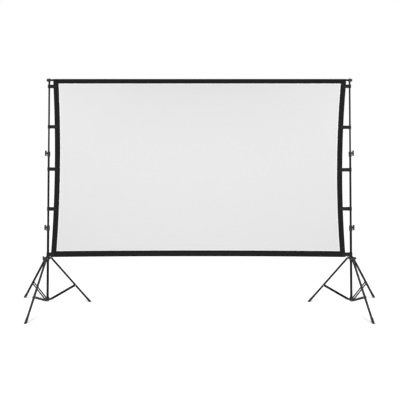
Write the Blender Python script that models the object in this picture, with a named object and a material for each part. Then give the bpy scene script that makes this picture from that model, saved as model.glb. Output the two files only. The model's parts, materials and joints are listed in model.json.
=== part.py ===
"""A free-standing projector screen: a fabric panel hung from a crossbar and tied between two tripod masts.

Metres, +Z up, the viewer at -Y. The floor is z = 0, and the origin is the middle of the footprint.
Each stand has three legs on a sliding crown, held open by braces from a fixed base hub, and a mast
of three telescoping tubes with a clamp and a knob at each joint.
"""

import math

import bmesh
import bpy
from mathutils import Matrix, Vector

# Fits
FIT = 0.0003
OVERRUN = 0.004
WELD = 0.000001
ROUND_SIDES = 20
SMALL_SIDES = 10
ROUNDING_SEGMENTS = 2
SHARP_ANGLE = math.radians(35)

# Whole object
MAST_SPACING = 2.810
BAR_HEIGHT = 2.100

# Mast tubes
TUBE_WALL = 0.0010
UPPER_TUBE_RADIUS = 0.0080
MIDDLE_TUBE_RADIUS = 0.0095
LOWER_TUBE_RADIUS = 0.0110
UPPER_JOINT_HEIGHT = 1.4065
LOWER_JOINT_HEIGHT = 0.7195
TUBE_INSERT = 0.080
TUBE_SEAT_HEIGHT = 0.056

# Mast clamps, one on the top end of the middle and the lower tube
CLAMP_WALL = 0.0034
CLAMP_SKIRT = 0.024
CLAMP_HEAD = 0.026
CLAMP_BAND = 0.013
CLAMP_BAND_WALL = 0.0052
CLAMP_LIP = 0.0012
CLAMP_SLIT = 0.0022
CLAMP_SCREW_HEIGHT = 0.011
CLAMP_BOSS_RADIUS = 0.0075
CLAMP_BOSS_REACH = 0.0178

# Clamp and crown knobs
SCREW_RADIUS = 0.0030
KNOB_HUB_RADIUS = 0.0082
KNOB_LENGTH = 0.0145
KNOB_SPAN = 0.052
KNOB_WING_WIDTH = 0.0100
KNOB_WING_DEPTH = 0.0135
KNOB_WAIST = 0.0072
KNOB_ROUNDING = 0.0014
CLAMP_TURN = math.radians(25)
CROWN_KNOB_TILT = math.radians(62)

# Tripod
LEG_TURN = math.radians(20)
LEG_COUNT = 3
FOOT_RADIUS = 0.388
PIVOT_RADIUS = 0.030
CROWN_HEIGHT = 0.448
HUB_HEIGHT = 0.068
BRACE_POINT = 0.352
PIN_RADIUS = 0.0030
LUG_RADIUS = 0.0080
LUG_STEPS = 5

# Crown
CROWN_RADIUS = 0.0170
CROWN_ABOVE = 0.0165
CROWN_BELOW = 0.0240
CROWN_COLLAR = 0.0080
CROWN_COLLAR_RADIUS = 0.0148
EAR_THICKNESS = 0.0036
CROWN_BOSS_RADIUS = 0.0070
CROWN_BOSS_REACH = 0.0312
CROWN_SCREW_HEIGHT = 0.0010

# Base hub
HUB_RADIUS = 0.0155
HUB_ABOVE = 0.020
HUB_BELOW = 0.017
HUB_CHAMFER = 0.004

# Legs, a channel open on its under side
LEG_WIDTH = 0.0150
LEG_DEPTH = 0.0160
LEG_WALL = 0.0012
LEG_ROUNDING = 0.0022
LEG_END_GAP = 0.0160
LEG_END_STEPS = 6
SPACER_RADIUS = 0.0045
SPACER_BOSS_RADIUS = 0.0062

# Rubber feet
FOOT_WALL = 0.0011
FOOT_LENGTH = 0.042
FOOT_ROUNDING = 0.0020

# Braces, two flat strips on each side of a leg
STRIP_THICKNESS = 0.0018
STRIP_GAP = 0.0184
RIVET_HEAD_RADIUS = 0.0050
RIVET_HEAD_HEIGHT = 0.0012

# Mast caps
CAP_FLANGE_RADIUS = 0.0098
CAP_FLANGE = 0.0100
CAP_PLUG = 0.022
STUD_RADIUS = 0.0040
STUD_REACH = 0.018

# Crossbar
BAR_RADIUS = 0.0095
BAR_WALL = 0.0010
BAR_OVERHANG = 0.0205
BAR_JOIN_SHARE = 1 / 6
BAR_SWAGE = 0.060
BAR_SWAGE_STEP = 0.004
BAR_END_RADIUS = 0.0138
BAR_END_WALL = 0.0022
BAR_END_INNER = 0.0100
BAR_END_ROUNDING = 0.0030

# Fabric, with the border's distance from the mast's axis at the top, the waist and the bottom
BORDER_GAPS = {"left": (0.039, 0.059, 0.028), "right": (0.0345, 0.074, 0.052)}
WAIST_SHARE = 0.584
BORDER_WIDTH = 0.0455
PANEL_THICKNESS = 0.0008
BORDER_THICKNESS = 0.0014
SEAM_LAP = 0.010
HEM_HEIGHT = 0.040
SLEEVE_THICKNESS = 0.0012
SLEEVE_CLOSE = math.radians(36)
TAIL_THICKNESS = 0.0014
BOTTOM_HEIGHT = 0.0505
CORNER_CLEARANCE = 0.0008
BOTTOM_BOW = 0.0078
EDGE_STEPS = 20
BOW_STEPS = 24

# Straps that tie the side borders to the masts: below the hem, between the clamps and above the crown
STRAP_BELOW_HEM = 0.0295
UPPER_STRAP_SHARE = 0.363
MIDDLE_STRAP_SHARES = (0.824, 0.243)
STRAP_CLEARANCE = 0.0025
STRAP_WIDTH = 0.028
STRAP_THICKNESS = 0.0016
STRAP_LAP = 0.030
STRAP_ARC_STEPS = 12

# Worked out from the sizes above
MAST_X = MAST_SPACING / 2
HOLE_RADIUS = PIN_RADIUS + FIT
LEG_RUN = FOOT_RADIUS - PIVOT_RADIUS
LEG_ANGLE = math.atan2(LEG_RUN, CROWN_HEIGHT)
LEG_LENGTH = math.hypot(LEG_RUN, CROWN_HEIGHT)
BRACE_RUN = BRACE_POINT * math.sin(LEG_ANGLE)
BRACE_RISE = CROWN_HEIGHT - BRACE_POINT * math.cos(LEG_ANGLE) - HUB_HEIGHT
BRACE_LENGTH = math.hypot(BRACE_RUN, BRACE_RISE)
BRACE_ANGLE = math.atan2(BRACE_RUN, BRACE_RISE)
CROWN_TRAVEL = HUB_HEIGHT + BRACE_LENGTH + BRACE_POINT - CROWN_HEIGHT
LUG_WIDTH = STRIP_GAP - 2 * FIT
HEM_BOTTOM = BAR_HEIGHT + BAR_RADIUS + FIT + SLEEVE_THICKNESS - HEM_HEIGHT
BORDER_FRONT = -FIT - BORDER_THICKNESS
BOTTOM_CORNER_HEIGHT = CROWN_HEIGHT + LUG_RADIUS + CORNER_CLEARANCE
LEG_NAMES = ("inner", "back", "front")


# Materials


def finish(name, colour, roughness, metallic=0.0):
    material = bpy.data.materials.new(name)
    material.use_nodes = True
    shader = material.node_tree.nodes["Principled BSDF"]
    shader.inputs["Base Color"].default_value = (*colour, 1.0)
    shader.inputs["Roughness"].default_value = roughness
    shader.inputs["Metallic"].default_value = metallic
    return material


def make_finishes():
    return {
        "tube": finish("black_coated_tube", (0.030, 0.030, 0.032), 0.42, 0.35),
        "channel": finish("black_coated_channel", (0.026, 0.026, 0.028), 0.45, 0.30),
        "clamp": finish("black_clamp_nylon", (0.018, 0.018, 0.019), 0.55),
        "knob": finish("black_knob_nylon", (0.022, 0.022, 0.023), 0.50),
        "rubber": finish("black_foot_rubber", (0.014, 0.014, 0.014), 0.80),
        "panel": finish("grey_white_screen_cloth", (0.800, 0.800, 0.800), 0.85),
        "border": finish("black_border_cloth", (0.028, 0.028, 0.029), 0.82),
        "strap": finish("black_elastic_strap", (0.024, 0.024, 0.025), 0.80),
    }


# Shapes


def mesh_from(shape, name):
    """Turns a bmesh into a mesh with its faces pointing out."""
    bmesh.ops.recalc_face_normals(shape, faces=shape.faces)
    mesh = bpy.data.meshes.new(name)
    shape.to_mesh(mesh)
    shape.free()
    return mesh


def shade(mesh):
    mesh.shade_smooth()
    mesh.set_sharp_from_angle(angle=SHARP_ANGLE)
    return mesh


def moved(mesh, matrix):
    mesh.transform(matrix)
    return mesh


def turned(name, profile, sides=ROUND_SIDES):
    """Spins a profile of (radius, height) points about Z, closing it first unless it ends on the axis."""
    shape = bmesh.new()
    points = [shape.verts.new((radius, 0, height)) for radius, height in profile]
    pairs = list(zip(points, points[1:]))
    if profile[0][0] > 0:
        pairs.append((points[-1], points[0]))
    edges = [shape.edges.new(pair) for pair in pairs]
    bmesh.ops.spin(shape, geom=points + edges, cent=(0, 0, 0), axis=(0, 0, 1), angle=math.tau, steps=sides)
    bmesh.ops.remove_doubles(shape, verts=shape.verts, dist=WELD)
    return mesh_from(shape, name)


def rod(radius, low, high, sides=SMALL_SIDES):
    """A plain cylinder on the Z axis between two heights."""
    return turned("rod", [(0, low), (radius, low), (radius, high), (0, high)], sides)


def extruded(name, outline, low, high):
    """A prism whose outline lies in the XY plane, between two heights."""
    shape = bmesh.new()
    face = shape.faces.new([shape.verts.new((x, y, low)) for x, y in outline])
    raised = bmesh.ops.extrude_face_region(shape, geom=[face])
    corners = [item for item in raised["geom"] if isinstance(item, bmesh.types.BMVert)]
    bmesh.ops.translate(shape, verts=corners, vec=(0, 0, high - low))
    return mesh_from(shape, name)


def block(low, high):
    """A box between two opposite corners."""
    outline = [(low[0], low[1]), (high[0], low[1]), (high[0], high[1]), (low[0], high[1])]
    return extruded("block", outline, low[2], high[2])


def arc(centre, radius, start, stop, steps):
    """Points on a circle, from one angle to another."""
    angles = [start + (stop - start) * step / steps for step in range(steps + 1)]
    return [(centre[0] + radius * math.cos(angle), centre[1] + radius * math.sin(angle)) for angle in angles]


def stadium(length, radius, steps=LUG_STEPS):
    """A bar outline with round ends, centred on (0, 0) and (length, 0)."""
    far_end = arc((length, 0), radius, -math.pi / 2, math.pi / 2, steps)
    near_end = arc((0, 0), radius, math.pi / 2, 3 * math.pi / 2, steps)
    return far_end + near_end


def combined(mesh, tool, operation):
    """The result of an exact Boolean between two closed meshes."""
    body = bpy.data.objects.new("body", mesh)
    cutter = bpy.data.objects.new("cutter", tool)
    for helper in (body, cutter):
        bpy.context.scene.collection.objects.link(helper)
    modifier = body.modifiers.new(operation, "BOOLEAN")
    modifier.operation = operation
    modifier.solver = "EXACT"
    modifier.object = cutter
    graph = bpy.context.evaluated_depsgraph_get()
    result = bpy.data.meshes.new_from_object(body.evaluated_get(graph))
    for helper in (body, cutter):
        bpy.data.objects.remove(helper)
    for used in (mesh, tool):
        bpy.data.meshes.remove(used)
    return welded(result)


def welded(mesh):
    """The mesh with the tiny edges that a Boolean leaves taken out."""
    shape = bmesh.new()
    shape.from_mesh(mesh)
    bmesh.ops.dissolve_degenerate(shape, dist=WELD, edges=shape.edges)
    shape.to_mesh(mesh)
    shape.free()
    return mesh


def cut(mesh, tool):
    return combined(mesh, tool, "DIFFERENCE")


def joined(mesh, tool):
    return combined(mesh, tool, "UNION")


def rounded_edges(mesh, width, segments, picked):
    """Bevels the edges for which picked(start, end) is true."""
    shape = bmesh.new()
    shape.from_mesh(mesh)
    edges = [edge for edge in shape.edges if picked(edge.verts[0].co, edge.verts[1].co)]
    bmesh.ops.bevel(shape, geom=edges, offset=width, segments=segments, profile=0.5, affect="EDGES")
    bpy.data.meshes.remove(mesh)
    return mesh_from(shape, "rounded")


ALONG_X = Matrix.Rotation(math.pi / 2, 4, "Y")
ALONG_Y = Matrix.Rotation(-math.pi / 2, 4, "X")


# Mast


def tube_mesh(name, radius, wall, low, high):
    inner = radius - wall
    return turned(name, [(inner, low), (radius, low), (radius, high), (inner, high)])


def clamp_mesh(name, outer_radius, inner_radius):
    """A split collar: its skirt grips the larger tube below z = 0 and its head the smaller one above."""
    skirt_bore = outer_radius + FIT
    head_bore = inner_radius + FIT
    skirt = outer_radius + CLAMP_WALL
    band = outer_radius + CLAMP_BAND_WALL
    profile = [
        (skirt_bore, -CLAMP_SKIRT),
        (skirt - CLAMP_LIP, -CLAMP_SKIRT),
        (skirt, -CLAMP_SKIRT + CLAMP_LIP),
        (skirt, -CLAMP_BAND),
        (band, -CLAMP_BAND + CLAMP_LIP),
        (band, CLAMP_HEAD - CLAMP_LIP),
        (band - CLAMP_LIP, CLAMP_HEAD),
        (head_bore, CLAMP_HEAD),
        (head_bore, FIT),
        (skirt_bore, FIT),
    ]
    collar = turned(name, profile)
    boss = moved(rod(CLAMP_BOSS_RADIUS, skirt_bore + CLAMP_LIP, CLAMP_BOSS_REACH), ALONG_X)
    raise_to_screw = Matrix.Translation((0, 0, CLAMP_SCREW_HEIGHT))
    collar = joined(collar, moved(boss, raise_to_screw))
    screw_hole = moved(rod(SCREW_RADIUS + FIT, 0, CLAMP_BOSS_REACH + OVERRUN), ALONG_X)
    collar = cut(collar, moved(screw_hole, raise_to_screw))
    slit_low = (-band - OVERRUN, -CLAMP_SLIT / 2, CLAMP_BAND / 2 - CLAMP_LIP)
    slit = block(slit_low, (0, CLAMP_SLIT / 2, CLAMP_HEAD + OVERRUN))
    return shade(cut(collar, slit))


def knob_mesh(name, seat_radius, boss_reach):
    """A winged knob on the X axis, with its screw reaching in to a tube of the seat's radius."""
    base = boss_reach + FIT
    hub = turned(
        name,
        [
            (0, seat_radius + FIT),
            (SCREW_RADIUS, seat_radius + FIT),
            (SCREW_RADIUS, base),
            (KNOB_HUB_RADIUS, base),
            (KNOB_HUB_RADIUS, base + KNOB_WAIST),
            (KNOB_WAIST, base + KNOB_LENGTH),
            (0, base + KNOB_LENGTH),
        ],
        SMALL_SIDES,
    )
    end_radius = KNOB_WING_WIDTH / 2
    outline = stadium(KNOB_SPAN - KNOB_WING_WIDTH, end_radius)
    wing_low = base + KNOB_LENGTH - KNOB_WING_DEPTH
    wing = extruded("wing", outline, wing_low, base + KNOB_LENGTH + KNOB_ROUNDING)
    wing_top = base + KNOB_LENGTH + KNOB_ROUNDING - WELD
    wing = rounded_edges(wing, KNOB_ROUNDING, ROUNDING_SEGMENTS, lambda a, b: min(a.z, b.z) > wing_top)
    wing = moved(wing, Matrix.Translation((-(KNOB_SPAN - KNOB_WING_WIDTH) / 2, 0, 0)))
    return shade(moved(joined(hub, wing), ALONG_X))


def mast_cap_mesh():
    """The plug on the mast's top, with the stud that the crossbar sits on. z = 0 is the tube's end."""
    plug = UPPER_TUBE_RADIUS - TUBE_WALL - FIT
    profile = [
        (0, -CAP_PLUG),
        (plug, -CAP_PLUG),
        (plug, FIT),
        (CAP_FLANGE_RADIUS, FIT),
        (CAP_FLANGE_RADIUS, CAP_FLANGE),
        (STUD_RADIUS, CAP_FLANGE),
        (STUD_RADIUS, CAP_FLANGE + STUD_REACH),
        (0, CAP_FLANGE + STUD_REACH),
    ]
    return shade(turned("mast_cap", profile, ROUND_SIDES))


# Tripod


def spoke(index):
    return Matrix.Rotation(math.tau * index / LEG_COUNT, 4, "Z")


def tongue(reach, thickness, root):
    """A lug in the XZ plane with a round end on the pivot circle, centred on y = 0."""
    lug = extruded("lug", stadium(reach - root, LUG_RADIUS), -thickness / 2, thickness / 2)
    return moved(lug, Matrix.Translation((root, 0, 0)) @ Matrix.Rotation(math.pi / 2, 4, "X"))


def crosswise_rod(radius, half_length, at=0.0):
    """A pin along Y through (at, 0, 0)."""
    return moved(rod(radius, -half_length, half_length), Matrix.Translation((at, 0, 0)) @ ALONG_Y)


def crown_mesh():
    """The sliding crown: a barrel with a forked ear and a pin for each leg, and a boss for its screw."""
    bore = LOWER_TUBE_RADIUS + FIT
    profile = [
        (bore, -CROWN_BELOW),
        (CROWN_COLLAR_RADIUS, -CROWN_BELOW),
        (CROWN_COLLAR_RADIUS, -CROWN_BELOW + CROWN_COLLAR),
        (CROWN_RADIUS, -CROWN_BELOW + CROWN_COLLAR + CLAMP_LIP),
        (CROWN_RADIUS, CROWN_ABOVE - CLAMP_LIP),
        (CROWN_RADIUS - CLAMP_LIP, CROWN_ABOVE),
        (bore, CROWN_ABOVE),
    ]
    crown = turned("crown", profile)
    ear_offset = LEG_WIDTH / 2 + FIT + EAR_THICKNESS / 2
    for index in range(LEG_COUNT):
        for side in (-1, 1):
            ear = tongue(PIVOT_RADIUS, EAR_THICKNESS, LOWER_TUBE_RADIUS)
            ear = moved(ear, spoke(index) @ Matrix.Translation((0, side * ear_offset, 0)))
            crown = joined(crown, ear)
        pin = crosswise_rod(PIN_RADIUS, ear_offset, PIVOT_RADIUS)
        crown = joined(crown, moved(pin, spoke(index)))
    boss = moved(rod(CROWN_BOSS_RADIUS, CROWN_COLLAR_RADIUS, CROWN_BOSS_REACH), ALONG_X)
    hole = moved(rod(SCREW_RADIUS + FIT, 0, CROWN_BOSS_REACH + OVERRUN), ALONG_X)
    to_back = Matrix.Translation((0, 0, CROWN_SCREW_HEIGHT)) @ Matrix.Rotation(math.pi, 4, "Z")
    crown = joined(crown, moved(boss, to_back))
    crown = cut(crown, moved(hole, to_back))
    bore_cutter = rod(bore, -CROWN_BELOW - OVERRUN, CROWN_ABOVE + OVERRUN, ROUND_SIDES)
    return shade(cut(crown, bore_cutter))


def hub_mesh():
    """The base hub: a cup under the lower tube with a drilled lug for each brace, about the pivots' height."""
    bore = LOWER_TUBE_RADIUS + FIT
    seat = TUBE_SEAT_HEIGHT - FIT - HUB_HEIGHT
    profile = [
        (0, -HUB_BELOW),
        (HUB_RADIUS - HUB_CHAMFER, -HUB_BELOW),
        (HUB_RADIUS, -HUB_BELOW + HUB_CHAMFER),
        (HUB_RADIUS, HUB_ABOVE),
        (bore, HUB_ABOVE),
        (bore, seat),
        (0, seat),
    ]
    hub = turned("hub", profile)
    for index in range(LEG_COUNT):
        lug = tongue(PIVOT_RADIUS, LUG_WIDTH, HUB_RADIUS)
        lug = cut(lug, crosswise_rod(HOLE_RADIUS, LUG_WIDTH, PIVOT_RADIUS))
        hub = joined(hub, moved(lug, spoke(index)))
    bore_cutter = rod(bore, seat, HUB_ABOVE + OVERRUN, ROUND_SIDES)
    return shade(cut(hub, bore_cutter))


def leg_outline(end):
    """The leg's side view: round about the crown's pivot at x = 0, square at its lower end."""
    radius = LEG_DEPTH / 2
    return arc((0, 0), radius, math.pi / 2, 3 * math.pi / 2, LEG_END_STEPS) + [(end, -radius), (end, radius)]


def leg_mesh():
    """A leg along +X from the crown's pivot, its channel open towards -Z."""
    half = LEG_WIDTH / 2
    end = LEG_LENGTH - LEG_END_GAP
    back = LEG_DEPTH / 2
    leg = moved(extruded("leg", leg_outline(end), -half, half), Matrix.Rotation(math.pi / 2, 4, "X"))
    leg = rounded_edges(
        leg,
        LEG_ROUNDING,
        ROUNDING_SEGMENTS,
        lambda a, b: min(a.z, b.z) > back - WELD and abs(a.y - b.y) < WELD,
    )
    inside = half - LEG_WALL
    hollow = block((-LEG_DEPTH, -inside, -LEG_DEPTH), (end + OVERRUN, inside, back - LEG_WALL))
    leg = cut(leg, hollow)
    leg = cut(leg, crosswise_rod(HOLE_RADIUS, LEG_WIDTH))
    washer = half - LEG_WALL / 2
    spacer = [
        (0, -LUG_WIDTH / 2),
        (SPACER_BOSS_RADIUS, -LUG_WIDTH / 2),
        (SPACER_BOSS_RADIUS, -washer),
        (SPACER_RADIUS, -washer),
        (SPACER_RADIUS, washer),
        (SPACER_BOSS_RADIUS, washer),
        (SPACER_BOSS_RADIUS, LUG_WIDTH / 2),
        (0, LUG_WIDTH / 2),
    ]
    spacer = turned("spacer", spacer, SMALL_SIDES)
    leg = joined(leg, moved(spacer, Matrix.Translation((BRACE_POINT, 0, 0)) @ ALONG_Y))
    return shade(leg)


def foot_mesh():
    """A rubber boot on the leg's end, in the leg's own axes, cut flat where it meets the floor."""
    depth = LEG_DEPTH / 2 + FIT + FOOT_WALL
    half = LEG_WIDTH / 2 + FIT + FOOT_WALL
    top = LEG_LENGTH - FOOT_LENGTH
    slope = depth * math.tan(LEG_ANGLE)
    outline = [(top, -depth), (LEG_LENGTH - slope, -depth), (LEG_LENGTH + slope, depth), (top, depth)]
    foot = moved(extruded("foot", outline, -half, half), Matrix.Rotation(math.pi / 2, 4, "X"))
    foot = rounded_edges(
        foot,
        FOOT_ROUNDING,
        ROUNDING_SEGMENTS,
        lambda a, b: abs(a.y - b.y) < WELD and abs(a.z - b.z) < WELD,
    )
    pocket_end = LEG_LENGTH - LEG_END_GAP + FIT
    pocket_low = (top - OVERRUN, -LEG_WIDTH / 2 - FIT, -LEG_DEPTH / 2 - FIT)
    pocket = block(pocket_low, (pocket_end, LEG_WIDTH / 2 + FIT, LEG_DEPTH / 2 + FIT))
    return shade(cut(foot, pocket))


def brace_mesh():
    """Two strips along +X from the hub's pivot, joined by the pin that turns in the hub's lug."""
    inner = STRIP_GAP / 2
    outer = inner + STRIP_THICKNESS
    brace = crosswise_rod(PIN_RADIUS, inner + STRIP_THICKNESS / 2)
    for side in (-1, 1):
        turn = Matrix.Rotation(-side * math.pi / 2, 4, "X")
        strip = extruded("strip", stadium(BRACE_LENGTH, LUG_RADIUS), inner, outer)
        brace = joined(brace, moved(strip, turn))
        for at in (0.0, BRACE_LENGTH):
            head = rod(RIVET_HEAD_RADIUS, inner + STRIP_THICKNESS / 2, outer + RIVET_HEAD_HEIGHT)
            brace = joined(brace, moved(head, Matrix.Translation((at, 0, 0)) @ turn))
    return shade(brace)


# Crossbar


def outer_bar_mesh(direction):
    """An end section of the crossbar, about the mast's axis at x = 0, with the hole for the mast's stud."""
    join = MAST_X - MAST_SPACING * BAR_JOIN_SHARE
    ends = sorted((-direction * BAR_OVERHANG, direction * join))
    bar = moved(tube_mesh("outer_bar", BAR_RADIUS, BAR_WALL, *ends), ALONG_X)
    return shade(cut(bar, rod(STUD_RADIUS + FIT, -BAR_RADIUS - OVERRUN, 0)))


def centre_bar_mesh():
    """The middle section, with reduced ends that slide into the end sections."""
    half = MAST_SPACING * BAR_JOIN_SHARE - FIT
    neck = BAR_RADIUS - BAR_WALL - FIT
    bore = neck - BAR_WALL
    outer = [(neck, -half - BAR_SWAGE), (neck, -half), (BAR_RADIUS, -half)]
    outer += [(radius, -height) for radius, height in reversed(outer)]
    inner = [(bore, half + BAR_SWAGE), (bore, half - BAR_SWAGE_STEP)]
    inner.append((BAR_RADIUS - BAR_WALL, half - 2 * BAR_SWAGE_STEP))
    inner += [(radius, -height) for radius, height in reversed(inner)]
    return shade(moved(turned("centre_bar", outer + inner), ALONG_X))


def bar_end_mesh(direction):
    """The cap on the crossbar's end, about the mast's axis. Its closed end points away from the screen."""
    bore = BAR_RADIUS + FIT
    tip = BAR_OVERHANG + FIT + BAR_END_WALL
    rim = BAR_END_RADIUS - BAR_END_ROUNDING
    profile = [
        (0, tip),
        (rim, tip),
        (BAR_END_RADIUS, tip - BAR_END_ROUNDING),
        (BAR_END_RADIUS, -BAR_END_INNER),
        (bore, -BAR_END_INNER),
        (bore, BAR_OVERHANG + FIT),
        (0, BAR_OVERHANG + FIT),
    ]
    outwards = Matrix.Rotation(-direction * math.pi / 2, 4, "Y")
    cap = moved(turned("bar_end", profile), outwards)
    return shade(cut(cap, rod(STUD_RADIUS + FIT, -BAR_END_RADIUS - OVERRUN, 0)))


# Fabric


def edge_x(side, height):
    """Half width of the border's outer edge at a height: a parabola through its top, waist and bottom."""
    top, waist, bottom = (MAST_X - gap for gap in BORDER_GAPS[side])
    waist_height = BOTTOM_CORNER_HEIGHT + (HEM_BOTTOM - BOTTOM_CORNER_HEIGHT) * WAIST_SHARE
    knots = ((HEM_BOTTOM, top), (waist_height, waist), (BOTTOM_CORNER_HEIGHT, bottom))
    total = 0.0
    for z_here, x_here in knots:
        share = 1.0
        for z_other, _ in knots:
            if z_other != z_here:
                share *= (height - z_other) / (z_here - z_other)
        total += x_here * share
    return total


def side_sign(side):
    return -1 if side == "left" else 1


def border_edge(side, low, high, inset):
    """Points of a side edge from low to high, moved towards the middle by inset."""
    heights = [low + (high - low) * step / EDGE_STEPS for step in range(EDGE_STEPS + 1)]
    return [(side_sign(side) * (edge_x(side, height) - inset), height) for height in heights]


def bow_height(x):
    """How far the bottom edge is drawn up at a place along it."""
    half = edge_x("left" if x < 0 else "right", BOTTOM_CORNER_HEIGHT)
    return BOTTOM_BOW * (1 - (x / half) ** 2)


def bottom_edge(level, inset):
    """Points of a bowed line along the bottom border, from left to right."""
    left = -edge_x("left", level) + inset
    right = edge_x("right", level) - inset
    across = [left + (right - left) * step / BOW_STEPS for step in range(BOW_STEPS + 1)]
    return [(x, level + bow_height(x)) for x in across]


def sheet(name, outline, front, back):
    """A flat piece of fabric from a front-view outline of (x, z) points, between two depths."""
    flat = extruded(name, outline, -back, -front)
    return shade(moved(flat, Matrix.Rotation(math.pi / 2, 4, "X")))


def panel_mesh():
    """The screen cloth, lapped behind the borders by the seam."""
    inset = BORDER_WIDTH - SEAM_LAP
    top = HEM_BOTTOM + SEAM_LAP
    level = BOTTOM_CORNER_HEIGHT + BOTTOM_HEIGHT - SEAM_LAP
    bottom = bottom_edge(level, inset)
    right = border_edge("right", bottom[-1][1], top, inset)
    left = border_edge("left", bottom[0][1], top, inset)
    outline = bottom[:-1] + right + left[:0:-1]
    return sheet("panel", outline, 0, PANEL_THICKNESS)


def side_border_mesh(side):
    top = HEM_BOTTOM - FIT
    level = BOTTOM_CORNER_HEIGHT + BOTTOM_HEIGHT + FIT
    outer_x = side_sign(side) * edge_x(side, level)
    inner_x = side_sign(side) * (edge_x(side, level) - BORDER_WIDTH)
    outer = border_edge(side, level + bow_height(outer_x), top, 0)
    inner = border_edge(side, level + bow_height(inner_x), top, BORDER_WIDTH)
    return sheet(side + "_border", outer + inner[::-1], BORDER_FRONT, -FIT)


def bottom_border_mesh():
    low = bottom_edge(BOTTOM_CORNER_HEIGHT, 0)
    high = bottom_edge(BOTTOM_CORNER_HEIGHT + BOTTOM_HEIGHT, 0)
    return sheet("bottom_border", low + high[::-1], BORDER_FRONT, -FIT)


def hem_mesh():
    """The sleeve round the crossbar and its sewn tail in front of the panel, drawn about the bar's axis."""
    bore = BAR_RADIUS + FIT
    radius = bore + SLEEVE_THICKNESS
    tail_front = -BORDER_FRONT
    tail_back = tail_front - TAIL_THICKNESS
    tail_low = HEM_BOTTOM - BAR_HEIGHT
    shoulder = -radius - SLEEVE_THICKNESS
    outline = arc((0, 0), radius, -SLEEVE_CLOSE, math.pi + SLEEVE_CLOSE, ROUND_SIDES)
    outline += [(-tail_front, shoulder), (-tail_front, tail_low)]
    outline += [(-tail_back, tail_low), (-tail_back, shoulder)]
    left = -edge_x("left", HEM_BOTTOM)
    right = edge_x("right", HEM_BOTTOM)
    sleeve = extruded("hem", outline, left, right)
    sleeve = cut(sleeve, rod(bore, left - OVERRUN, right + OVERRUN, ROUND_SIDES))
    across = Matrix(((0, 0, 1, 0), (1, 0, 0, 0), (0, 1, 0, 0), (0, 0, 0, 1)))
    return shade(moved(sleeve, Matrix.Translation((0, 0, BAR_HEIGHT)) @ across))


def strap_path(reach, radius, steps):
    """The strap's middle line seen from above: in front of the border, round the mast at (0, 0), and back."""
    front = -(BORDER_THICKNESS + 2 * FIT + STRAP_THICKNESS / 2)
    back = PANEL_THICKNESS + FIT + STRAP_THICKNESS / 2
    path = [(reach + STRAP_LAP, front), (reach, front)]
    start = math.atan2(front, reach) - math.acos(radius / math.hypot(reach, front))
    stop = math.atan2(back, reach) + math.acos(radius / math.hypot(reach, back)) - math.tau
    path += arc((0, 0), radius, start, stop, steps)
    return path + [(reach, back), (reach + STRAP_LAP, back)]


def band_outline(path, thickness):
    """The outline of a band that follows a path, with mitred corners."""
    points = [Vector(point) for point in path]
    sides = ([], [])
    for index, point in enumerate(points):
        before = (point - points[index - 1]).normalized() if index else None
        after = (points[index + 1] - point).normalized() if index + 1 < len(points) else None
        along = (before or after) + (after or before)
        normal = Vector((-along.y, along.x)).normalized()
        straight = before or after
        spread = thickness / 2 / normal.dot(Vector((-straight.y, straight.x)))
        sides[0].append(point + normal * spread)
        sides[1].append(point - normal * spread)
    return [tuple(point) for point in sides[0] + sides[1][::-1]]


def strap_heights():
    """The middles of the straps, from the top down, clear of the clamps and the crown."""
    above_upper_clamp = UPPER_JOINT_HEIGHT + CLAMP_HEAD
    below_upper_clamp = UPPER_JOINT_HEIGHT - CLAMP_SKIRT
    above_lower_clamp = LOWER_JOINT_HEIGHT + CLAMP_HEAD
    heights = [HEM_BOTTOM - STRAP_BELOW_HEM]
    heights.append(above_upper_clamp + (HEM_BOTTOM - above_upper_clamp) * UPPER_STRAP_SHARE)
    for share in MIDDLE_STRAP_SHARES:
        heights.append(above_lower_clamp + (below_upper_clamp - above_lower_clamp) * share)
    heights.append(CROWN_HEIGHT + CROWN_ABOVE + STRAP_CLEARANCE + STRAP_WIDTH / 2)
    return heights


def strap_mesh(side, height, tube_radius):
    """A strap round the mast, loose enough for the next larger tube to slide up inside it."""
    reach = MAST_X - edge_x(side, height)
    path = strap_path(reach, tube_radius + FIT + STRAP_THICKNESS / 2, STRAP_ARC_STEPS)
    outline = band_outline(path, STRAP_THICKNESS)
    if side == "right":
        outline = [(-x, y) for x, y in outline]
    return shade(extruded(side + "_strap", outline, -STRAP_WIDTH / 2, STRAP_WIDTH / 2))


# Assembly


def clear_scene():
    for item in list(bpy.data.objects):
        bpy.data.objects.remove(item)


def place(name, mesh, material, parent, matrix):
    """A named piece at its place in its parent's axes."""
    piece = bpy.data.objects.new(name, mesh)
    bpy.context.scene.collection.objects.link(piece)
    if not mesh.materials:
        mesh.materials.append(material)
    piece.parent = parent
    piece.matrix_basis = matrix
    return piece


def empty(name, parent, location):
    guide = bpy.data.objects.new(name, None)
    bpy.context.scene.collection.objects.link(guide)
    guide.parent = parent
    guide.location = location
    return guide


def at(x, z):
    return Matrix.Translation((x, 0, z))


def facing(azimuth):
    return Matrix.Rotation(azimuth, 4, "Z")


def clamp_azimuth(side):
    """The clamps' screws point away from the screen, turned a little towards the viewer."""
    return math.pi + CLAMP_TURN if side == "left" else -CLAMP_TURN


def leg_azimuth(side, index):
    turn = LEG_TURN + math.tau * index / LEG_COUNT
    return turn if side == "left" else math.pi - turn


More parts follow.
